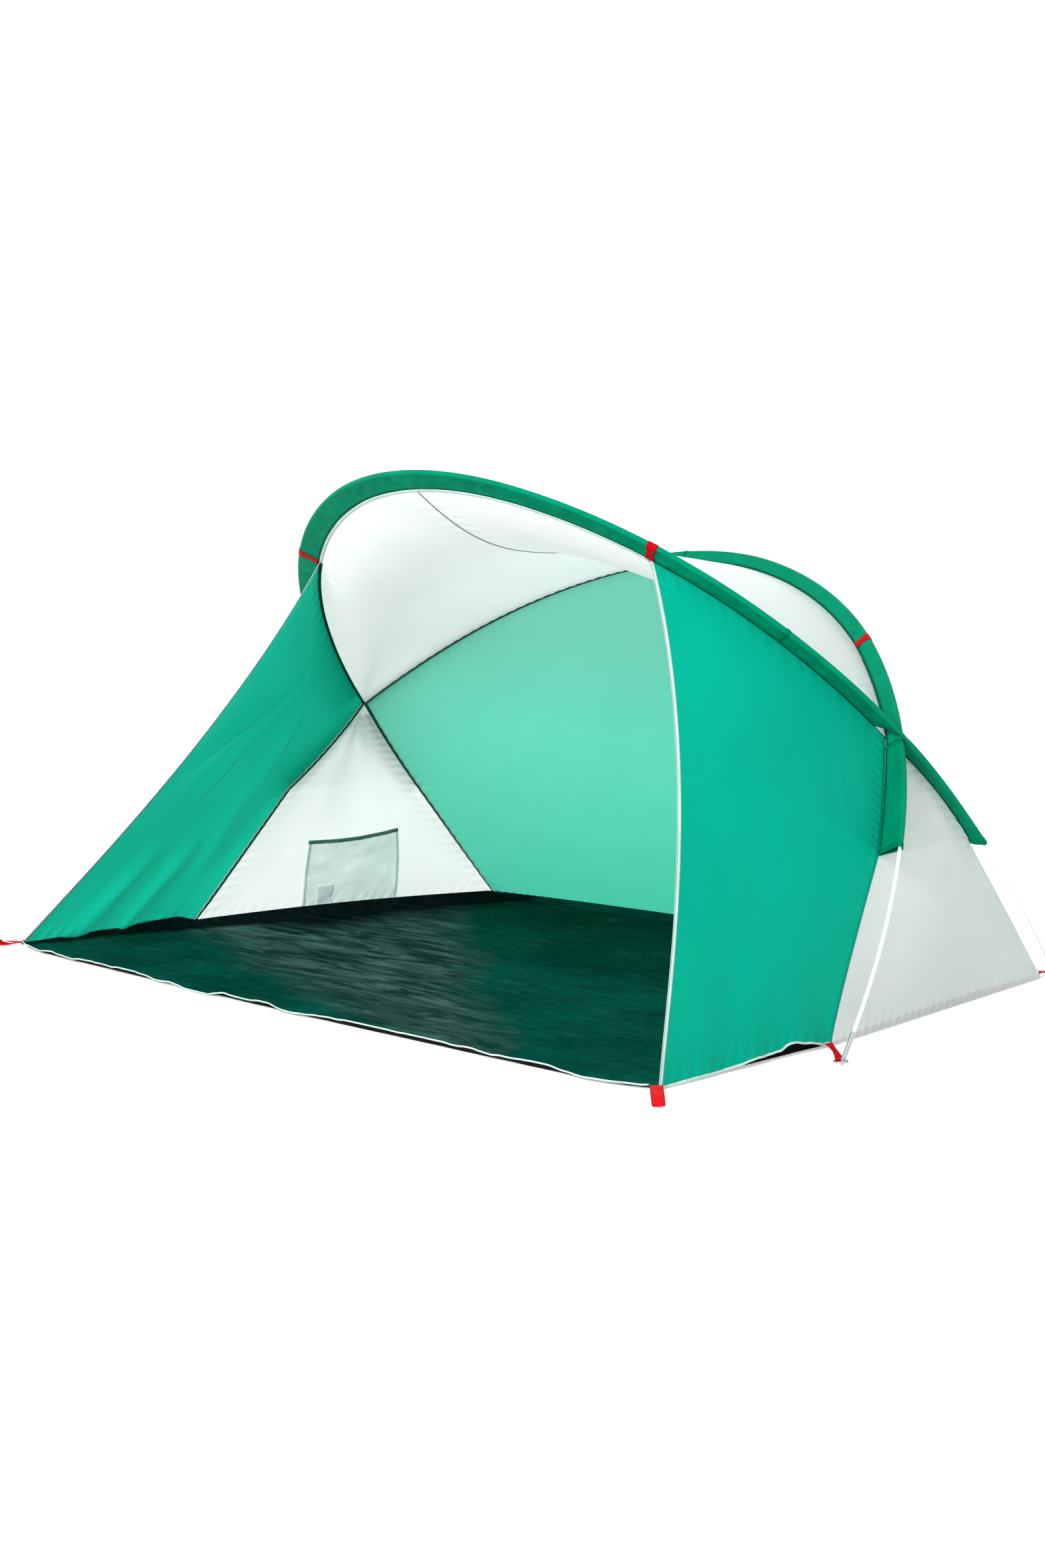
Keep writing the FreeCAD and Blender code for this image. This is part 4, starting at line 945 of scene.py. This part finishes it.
def strip_round(name, pole, shape, middle, half):
    """Narrow double thickness of cloth round a sleeve, a seam or hem, stitched along both its sides."""
    stations = np.linspace(middle - half, middle + half, 5)
    points, _ = shape(stations)
    normal = normals_of(points)
    column = points.shape[1] // 2
    away = points[2, column] - pole.frame(stations[2:3])[0][0]
    normal = normal * np.sign(normal[2, column] @ away)
    uv = np.stack(np.broadcast_arrays((stations - middle)[:, None], run_lengths(points[2])[None]), axis=-1)
    obj = grid_mesh(name, points + normal * 0.0009, hem_cloth, uv=uv, flipped=True)
    return collect(thicken(obj, 0.0007))


front_seam = sleeve_seam(front, FRONT_WIDTH, FRONT_CROSS, FRONT_END, back_seam)
rear_seam_line = sleeve_seam(rear, REAR_WIDTH, REAR_CROSS, REAR_END, side_seam)
rear_mouth = REAR_POLE_CROSS - SLEEVE_MEETING, REAR_POLE_CROSS + SLEEVE_MEETING
poles_meet = rear.frame(np.array([REAR_POLE_CROSS]))[0][0]
front_bare = nearest_station(front, poles_meet, FRONT_JOIN, FRONT_END)
front_top_shape = sleeve_shape(front, front_seam, FRONT_CROSS, front_bare, None, 1)
front_side_shape = sleeve_shape(front, front_seam, FRONT_CROSS, front_bare, WINDOW, 2)
rear_shape = sleeve_shape(rear, rear_seam_line, REAR_CROSS, REAR_POLE_CROSS, None, 4)


def sleeve_length(name, node, pole, shape, start, end, flat, strips):
    """One length of a sleeve, and the strips sewn round it: name, station and half width of each."""
    label, cross = ("front", FRONT_CROSS) if pole is front else ("rear", REAR_CROSS)
    points, uv = shape(steps_between(start, end, 0.007, ((cross, 0.06), (-cross, 0.06))))
    obj = collect(grid_mesh(name, points, sleeve_cloth, uv=uv, flipped=True))
    stand_for(obj, node, "sleeve_fabric")
    [strip_round(f"{node}_{part}", pole, shape, at, half) for part, at, half in strips]


def sleeve_sides(label, pole, shape, start, end, flat, strips):
    for side, way in zip(SIDES, (1, -1)):
        sleeve_length(f"{label}_cloth_{side}", f"{label}_{side}", pole, shape,
                      *sorted((start * way, end * way)), flat,
                      [(part, at * way, half) for part, at, half in strips])


sleeve_length("front_sleeve_top_cloth", "front_sleeve_top", front, front_top_shape, -FRONT_JOIN, FRONT_JOIN,
              (0.133, 2.17),
              [("left_cross_seam", -FRONT_JOIN, 0.0055), ("right_cross_seam", FRONT_JOIN, 0.0055)])
sleeve_sides("front_sleeve_side", front, front_side_shape, FRONT_JOIN, FRONT_END, (0.107, 0.78),
             [("hem", FRONT_END - HEM_IN, 0.0078)])
sleeve_length("rear_sleeve_top_cloth", "rear_sleeve_top", rear, rear_shape, -rear_mouth[0], rear_mouth[0],
              (0.094, 2.45), [("cross_seam", REAR_JOIN, 0.0045)])
sleeve_sides("rear_sleeve_side", rear, rear_shape, rear_mouth[1], REAR_END, (0.150, 0.345),
             [("hem", REAR_END - HEM_IN, 0.0078), ("mouth_hem", rear_mouth[1] + 0.0055, 0.0050)])


# ---- seams and bindings
def fit_tapes(name, made, node, slot_name):
    """Several tapes as the one piece that stands for a node."""
    stand_for(joined(name, made), node, slot_name)


def front_tape(name, start, end, half, material):
    """Stretch of the tape that runs along the front sleeve's seam inside the canopy."""
    s = steps_between(start, end, 0.012)
    inside = -front.frame(s)[2]
    wander = clouds(s * 14, 0 * s, 2, 5) * 0.0004
    line = front.inside(s, FRONT_WIDTH) + inside * (half - 0.0018) + vec(0 * s, wander, 0 * s)
    across = unit(np.cross(np.gradient(line, axis=0), inside))
    return band(name, line, inside, across, half, 0.0014, material)


def pair_of_tapes(name, kind, u, v, across, half, material):
    """The same tape on a right and a left panel."""
    return [tape(f"{name}_{side}", hung[kind, side], u, v, across, half, material, mirror=side == "left")
            for side in SIDES]


t = np.linspace(0.003, 0.997, 160)
fit_tapes("roof_front_tape", [
    front_tape("roof_front_tape", -WING_TOP, WING_TOP, 0.0042, roof_tape),
    front_tape("wing_top_tape_right", WING_TOP, FRONT_CROSS - 0.001, 0.0056, shadow_tape),
    front_tape("wing_top_tape_left", -FRONT_CROSS + 0.001, -WING_TOP, 0.0056, shadow_tape)],
    "roof_front_binding", "pale_binding")
fit_tapes("roof_rear_tape", pair_of_tapes("roof_rear_tape", "roof", t, 0.995 + 0 * t, "v", (0.0046, 0.0010),
                                          dark_tape), "roof_rear_seam", "seam_tape")
fit_tapes("rear_wall_tapes", [
    tape(f"rear_wall_tape_{i}", wall_hung, at + 0 * t, t, "u", (0.0054, 0.0010), wall_tape)
    for i, at in enumerate((0.0028, 0.9972))], "rear_wall_seams", "seam_tape")
fit_tapes("side_seam_tapes", pair_of_tapes("side_seam_tape", "wing", 0.9925 + 0 * t, t, "u", (0.006, 0.001),
                                           side_tape), "side_seam_bindings", "pale_binding")


def wing_bindings(surface, side):
    """Binding down a wing's front edge and along its foot, both on the folded cloth."""
    mirror = side == "left"
    v = np.linspace(0, 1, 160)
    point, into, upward, face = directions(surface, 0.0005 + 0 * v, v)
    into = square_to(into, upward)
    middle = point + into * (EDGE_BINDING / 2 - 0.001)
    edge = band(f"wing_edge_binding_{side}", middle, into, face, EDGE_BINDING / 2, 0.0010, edge_tape, mirror)
    u = np.linspace(0.014, 1, 130)
    point, along, upward, face = directions(surface, u, 0.0005 + 0 * u)
    upward = square_to(upward, along)
    middle = point + upward * (HEM_BINDING / 2 - 0.001) + face * 0.0012
    foot = band(f"wing_hem_binding_{side}", middle, upward, face, HEM_BINDING / 2, 0.0008, pale_tape, mirror)
    return edge, foot


edges, feet = zip(*[wing_bindings(hung["wing", side], side) for side in SIDES])
fit_tapes("wing_edge_tapes", list(edges), "wing_edge_bindings", "pale_binding")
fit_tapes("wing_hem_tapes", list(feet), "wing_hem_bindings", "pale_binding")


# ---- floor
def floor_outline(t, side):
    """Side edge of the floor from its front corner to its rear corner."""
    a, b, c = (np.array(p[:2]) * np.array([side, 1]) for p in (FRONT_CORNER, MID_CORNER, REAR_CORNER))
    first = np.linalg.norm(b - a) / (np.linalg.norm(b - a) + np.linalg.norm(c - b))
    t = np.asarray(t, float)[..., None]
    return np.where(t < first, mix(a, b, held(t / first)), mix(b, c, held((t - first) / (1 - first))))


def floor_front(t):
    """Front edge of the floor: a long shallow bow that turns in close to its corners."""
    share = 2 * np.asarray(t, float) - 1
    ahead = (FRONT_CORNER[1] - FLOOR_FRONT_SIDE[1]) * (1 - np.abs(share) ** 18)
    ahead = ahead + (FLOOR_FRONT_SIDE[1] - FLOOR_FRONT_Y) * (1 - np.abs(share) ** 1.5)
    return np.stack([share * FRONT_CORNER[0], FRONT_CORNER[1] - ahead], axis=-1)


def close_edges(size, count, edge=(0, 0.0015, 0.003, 0.005, 0.008, 0.012, 0.018, 0.026)):
    """Shares from 0 to 1, crowded where the floor turns up at its edges."""
    near = np.array(edge) / size
    return np.concatenate([near, np.linspace(near[-1], 1 - near[-1], count)[1:-1], 1 - near[::-1]])


def floor_edges(x, y, to_side, to_front, to_rear):
    """Height of the floor's raised edges, which follow the panels' feet."""
    side_turn, front_turn = 0.010, 0.018
    beside = (y - FRONT_CORNER[1]) / (MID_CORNER[1] - FRONT_CORNER[1])
    behind = held((y - MID_CORNER[1]) / (REAR_CORNER[1] - MID_CORNER[1]))
    right, left = (wing_foot(side)(held(beside)) for side in SIDES)
    wing_rise = np.where(x > 0, right, left) + 0.003
    side_rise = mix(wing_rise, LIP + GUSSET_RISE * np.sin(math.pi * behind), smooth((beside - 1) / 0.1))
    rear_rise = LIP + WALL_RISE * (1 - (x / REAR_CORNER[0]) ** 2)
    front_rise = 0.0085 + 0.0065 * np.clip(clouds(x * 7.5, 0 * x, 3, 9) * 1.3, -1, 1)
    edges = ((to_side, side_turn, side_rise), (to_rear, side_turn, rear_rise),
             (to_front, front_turn, front_rise))
    return np.max([smooth(1 - distance / turn) * rise for distance, turn, rise in edges], axis=0)


def build_floor():
    depth = 1.65
    u, v = np.meshgrid(close_edges(2.3, 330), close_edges(depth, 240), indexing="ij")

    def line(t):
        """Plan of the straight line from side to side, a share t of the way back."""
        return mix(floor_outline(t, -1), floor_outline(t, 1), u[..., None])

    flat = line(v) + mix(floor_front(u), line(1 + 0 * v), v[..., None])
    flat = flat - mix(line(0 * v), line(1 + 0 * v), v[..., None])
    x, y = flat[..., 0], flat[..., 1]
    to_side = np.minimum(u, 1 - u) * np.linalg.norm(floor_outline(v, 1) - floor_outline(v, -1), axis=-1)
    to_front, to_rear = v * depth, (1 - v) * depth
    inner = smooth(np.minimum(np.minimum(to_side, to_rear), to_front) / 0.05)
    streaks = clouds(x * 2.6, y * 13, 4, 2)
    ridges = 1 - np.abs(clouds(x * 5 + 0.4 * y, y * 17 + clouds(x * 2, y * 2, 2, 3) * 1.5, 3, 6))
    crinkle = 0.0026 * (1 + streaks) + 0.0022 * held(ridges) ** 3
    z = 2 * FLOOR_THICKNESS + crinkle * inner + floor_edges(x, y, to_side, to_front, to_rear)
    top = np.stack([x, y, z], axis=-1)
    made = thicken(grid_mesh("floor_sheet", top, floor_top), FLOOR_THICKNESS, -1.0, 1)
    made.data.materials.append(floor_under)
    stand_for(collect(made), "floor", "floor_sheet")
    return top


def bind_floor(edge):
    """Pale binding along the floor's front edge, short of its corners."""
    edge = edge[np.abs(edge[:, 0]) < FRONT_CORNER[0] - 0.012]
    along = unit(np.gradient(edge, axis=0))
    upward = square_to(unit(np.array([0, -0.35, 1])), along)
    made = band("floor_front_tape", edge + upward * 0.0005, upward, np.cross(along, upward), 0.0018, 0.0011,
                pale_tape)
    stand_for(made, "floor_front_binding", "pale_binding")


bind_floor(build_floor()[:, 0])


# ---- webbing
def sleeve_strap(name, pole, at, width, node):
    """Webbing folded over a sleeve, following its cloth just outside it, and drawn in where it is flat."""
    reach, grow, parted = width - 0.004, SLEEVE_R + 0.0009, 0.0022
    web = np.linspace(1, 0, 12)[:-1]
    a, b = wrapped(grow, reach, parted, (web, web), np.linspace(0, 1, 20))
    drawn = 0.22 * np.sin(math.pi * held(a / reach)) ** 2
    across, around = np.linspace(-0.5, 0.5, 9) * STRAP_WIDTH, run_lengths(np.stack([a, b], axis=-1))
    uv = np.stack(np.broadcast_arrays(across[:, None], around[None]), axis=-1)
    made = []
    for side in (1, -1):
        point, _, out = pole.frame((at + across) * side)
        centre, along = (part[0] for part in pole.frame(np.array([at * side]))[:2])
        points = point[:, None] - out[:, None] * a[:, None] + pole.normal * b[:, None]
        points = points - along * (dot(point - centre, along) * drawn)[..., None]
        obj = grid_mesh(f"{name}_{side}", points, shaded_webbing, uv=uv)
        made.append(collect(thicken(obj, STRAP_THICKNESS)))
    stand_for(joined(name, made), node, "red_webbing")


sleeve_strap("front_strap_webbing", front, WING_TOP, FRONT_WIDTH, "front_sleeve_straps")
sleeve_strap("rear_strap_webbing", rear, REAR_STRAP + STRAP_WIDTH / 2, REAR_WIDTH, "rear_sleeve_straps")


def rounded(corners, cuts=3):
    """Corner points turned into a smooth line, with points close together."""
    line = np.array(corners, float)
    for _ in range(cuts):
        near, far = mix(line[:-1], line[1:], 0.25), mix(line[:-1], line[1:], 0.75)
        line = np.concatenate([line[:1], np.stack([near, far], axis=1).reshape(-1, 2), line[-1:]])
    lengths = run_lengths(line)
    even = np.linspace(0, lengths[-1], int(lengths[-1] / 0.002))
    return np.stack([np.interp(even, lengths, line[:, i]) for i in (0, 1)], axis=-1)


def webbing_run(name, origin, way, path, half, centre, twist, body, mirror, material=red_webbing):
    """Flat webbing along a path of distances along way and heights, its width level but for the twist."""
    way = unit(np.array(way, float))
    across = np.broadcast_to(np.cross([0, 0, 1.0], way), (len(path), 3))
    points = np.array(origin) + way * path[:, :1] + np.array([0, 0, 1.0]) * path[:, 1:]
    above = np.cross(unit(np.gradient(points, axis=0)), across)
    c, s = np.cos(twist)[:, None], np.sin(twist)[:, None]
    side, up = across * c + above * s, above * c - across * s
    return band(name, points + side * centre[:, None], side, up, half, TACK, material, mirror, body)


def peg_loop(side):
    """Webbing doubled into a long flat loop, its folded end trimmed to a point."""
    end, seat, low, high = PEG_LOOP - TACK, 0.0084, 0.0012, 0.0108
    path = rounded([(0, seat), (0.010, seat), (0.044, low), (0.138, low), (end, low), (end, 0.0026),
                    (0.138, 0.0028), (0.106, high), (0.044, high), (0.010, 0.0097), (0, 0.0097)])
    trimmed = held((PEG_LOOP - path[:, 0]) / PEG_POINT)
    left, right = (mix(0.1 * STRAP_WIDTH, edge * STRAP_WIDTH, trimmed) for edge in (-0.5, 0.5))
    twist = smooth((path[:, 0] - 0.025) / 0.06) * (0.5 if side == "left" else 0.12)
    path[:, 1] += np.abs(np.sin(twist)) * STRAP_WIDTH / 2
    loop = webbing_run(f"front_peg_loop_webbing_{side}", (*FRONT_CORNER[:2], 0), (1, -1, 0), path,
                       (right - left) / 2 + 0.0008, (left + right) / 2, twist, f"{side}_peg_loop_body",
                       side == "left")
    stand_for(loop, f"front_peg_loop_{side}", "red_webbing")


def foot_strap(name, pole, anchor, side, squeeze, turn):
    """Webbing folded round the ring at a pole's foot, both layers sewn to the floor's edge. Midway it is
    narrower by the share squeeze and twisted by the angle turn."""
    mouth, along, _ = (a[0] for a in pole.frame(np.array([pole.end])))
    eye = mouth + along * PIN_EYE_DROP
    toward = unit(np.array([anchor[0] - eye[0], anchor[1] - eye[1], 0.0]))
    ring = eye + toward * RING_R
    reach, rise = (np.array(anchor) - ring) @ toward, anchor[2] - ring[2]
    loop, neck, merge, apart = 0.0085, 0.0170, 0.0300, 0.0025
    upper = [(reach, rise + 0.0007), (merge, 0.0008), (neck, apart), (loop + 0.001, 0.0026),
             (loop - 0.0016, 0.0012)]
    lower = [(reach, rise - 0.0007)] + [(place, -height) for place, height in upper[1:]]
    path = rounded(upper + lower[::-1])
    share = np.sin(math.pi * held((path[:, 0] - neck) / (reach - neck)))
    path[:, 1] += share * 0.004
    strap = webbing_run(f"{name}_foot_strap_webbing_{side}", ring, toward, path,
                        FOOT_STRAP_HALF * (1 - squeeze * share) - 0.0008, 0 * share, turn * share, None,
                        side == "left", shaded_webbing)
    start, end = (ring + toward * distance for distance in (reach, neck))
    if side == "left":
        start, end = flip(start), flip(end)
    tuple(start)
    tuple(end)
    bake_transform(strap)
    stand_for(strap, f"{name}_foot_strap_{side}", "red_webbing")


rear_anchor = (REAR_CORNER[0] - FOOT_STRAP_HALF, REAR_CORNER[1], STRAP_SEAT)
for side in SIDES:
    peg_loop(side)
    foot_strap("front_pole", front, rear_anchor, side, 0.10, 0.15)
    foot_strap("rear_pole", rear, (*MID_CORNER[:2], STRAP_SEAT), side, 0.40, 0.75)


# ---- pocket
def pocket_surface(a, b):
    c = np.array(POCKET_CORNERS)
    a, b = a[..., None], b[..., None]
    share = mix(mix(c[0], c[1], a), mix(c[2], c[3], a), b)
    return hung["side_gusset", "left"](share[..., 0], share[..., 1])


def build_pocket():
    """Net with its bindings and blank label, worked out on the right side and turned over to the left."""
    count = 50
    a, b = np.meshgrid(np.linspace(0, 1, count), np.linspace(0, 1, count), indexing="ij")
    flat = pocket_surface(a, b)
    inward = normals_of(flat)
    inward = inward * -np.sign(inward[count // 2, count // 2, 0])
    flat = flat - vec(0 * a, 0 * a, np.sin(math.pi * a) * b * POCKET_SAG)
    bag = np.sin(math.pi * a) * np.sin(math.pi * b * 0.55) * POCKET_BAG
    points = flat + inward * (POCKET_LIFT + bag + clouds(a * 6, b * 6, 2, 5) * 0.0012)[..., None]
    mesh = stand_for(collect(grid_mesh("pocket_net", flip(points), net)), "pocket_mesh", "pocket_mesh")

    def strip(name, line, into, face, half, thick, material):
        return band(name, flip(line), flip(unit(into)), flip(face), half, thick, material)

    fit_tapes("pocket_side_tapes", [
        strip(f"pocket_side_{name}", points[i], points[i + 1] - points[i - 1], inward[i], 0.0042, 0.0008,
              net_binding)
        for i, name in ((1, "front"), (-2, "rear"))], "pocket_side_bindings", "pocket_binding")
    line, face = points[:, -2], inward[:, -2]
    gather = (np.sin(np.linspace(0, 60, count)) * 0.0006)[:, None]
    top = strip("pocket_top_elastic", line + face * gather, points[:, -1] - points[:, -3], face, 0.0058,
                0.0012, net_elastic)
    stand_for(top, "pocket_top_binding", "pocket_elastic")
    column, rows = 11, slice(2, 17)
    line, face = points[column, rows], inward[column, rows]
    across = points[column + 1, rows] - points[column - 1, rows]
    tag = strip("pocket_blank_label", line + face * 0.0012, across, face, 0.026, 0.0004, label_cloth)
    stand_for(tag, "pocket_label", "label_tape")


build_pocket()


# ---- finishes of the hard pieces
for words, finish in ((("pole_section",), rod_finish), (("ferrules", "foot_pin", "foot_ring"), steel_finish),
                      (("tips",), tip_finish), (("shock",), cord_finish)):
    for node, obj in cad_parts.items():
        if any(word in node for word in words) and not obj.hide_render:
            obj.data.materials.clear()
            obj.data.materials.append(finish)


# ---- studio
def area_light(name, place, aim, size, power):
    data = bpy.data.lights.new(name, "AREA")
    data.shape, data.size, data.energy = "DISK", size, power
    light = bpy.data.objects.new(name, data)
    bpy.context.scene.collection.objects.link(light)
    light.location = place
    light.rotation_euler = (Vector(aim) - Vector(place)).to_track_quat("-Z", "Y").to_euler()


def studio_floor():
    """Wide matt floor just below the ground, which the camera sees a little brighter than it is lit."""
    n = Nodes("studio_floor")
    paint = n.principled((0.93, 0.93, 0.93, 1.0), 0.9, None, specular=0.1)
    seen = Value(n, n.add("ShaderNodeLightPath").outputs["Is Camera Ray"])
    both = n.add("ShaderNodeAddShader")
    n.put(both.inputs[0], paint)
    n.put(both.inputs[1], n.filled(n.add("ShaderNodeEmission"), Strength=seen * 0.42))
    mesh = bpy.data.meshes.new("studio_floor")
    half, level = 40.0, -0.0005
    corners = [(x * half, y * half, level) for x, y in ((-1, -1), (1, -1), (1, 1), (-1, 1))]
    mesh.from_pydata(corners, [], [(0, 1, 2, 3)])
    mesh.materials.append(n.finish(both.outputs[0]))
    floor = bpy.data.objects.new("studio_floor", mesh)
    bpy.context.scene.collection.objects.link(floor)


def studio_world():
    """Even white light, with a brighter background for the camera alone."""
    strength, extra = 0.82, 0.4
    world = bpy.data.worlds.new("studio")
    world.use_nodes = True
    back = world.node_tree.nodes["Background"]
    back.inputs[0].default_value = (1.0, 1.0, 1.0, 1.0)
    path = world.node_tree.nodes.new("ShaderNodeLightPath")
    seen = world.node_tree.nodes.new("ShaderNodeMath")
    seen.operation = "MULTIPLY_ADD"
    seen.inputs[1].default_value, seen.inputs[2].default_value = extra, strength
    world.node_tree.links.new(path.outputs["Is Camera Ray"], seen.inputs[0])
    world.node_tree.links.new(seen.outputs[0], back.inputs[1])
    bpy.context.scene.world = world


studio_floor()
studio_world()
bpy.context.scene.view_settings.view_transform = "Standard"
area_light("key", (3.0, -9.4, 5.6), (0, 0, 0.4), 3.2, 1350)
area_light("back", (-2.5, 4.0, 3.5), (0, 0.3, 0.5), 3.0, 130)
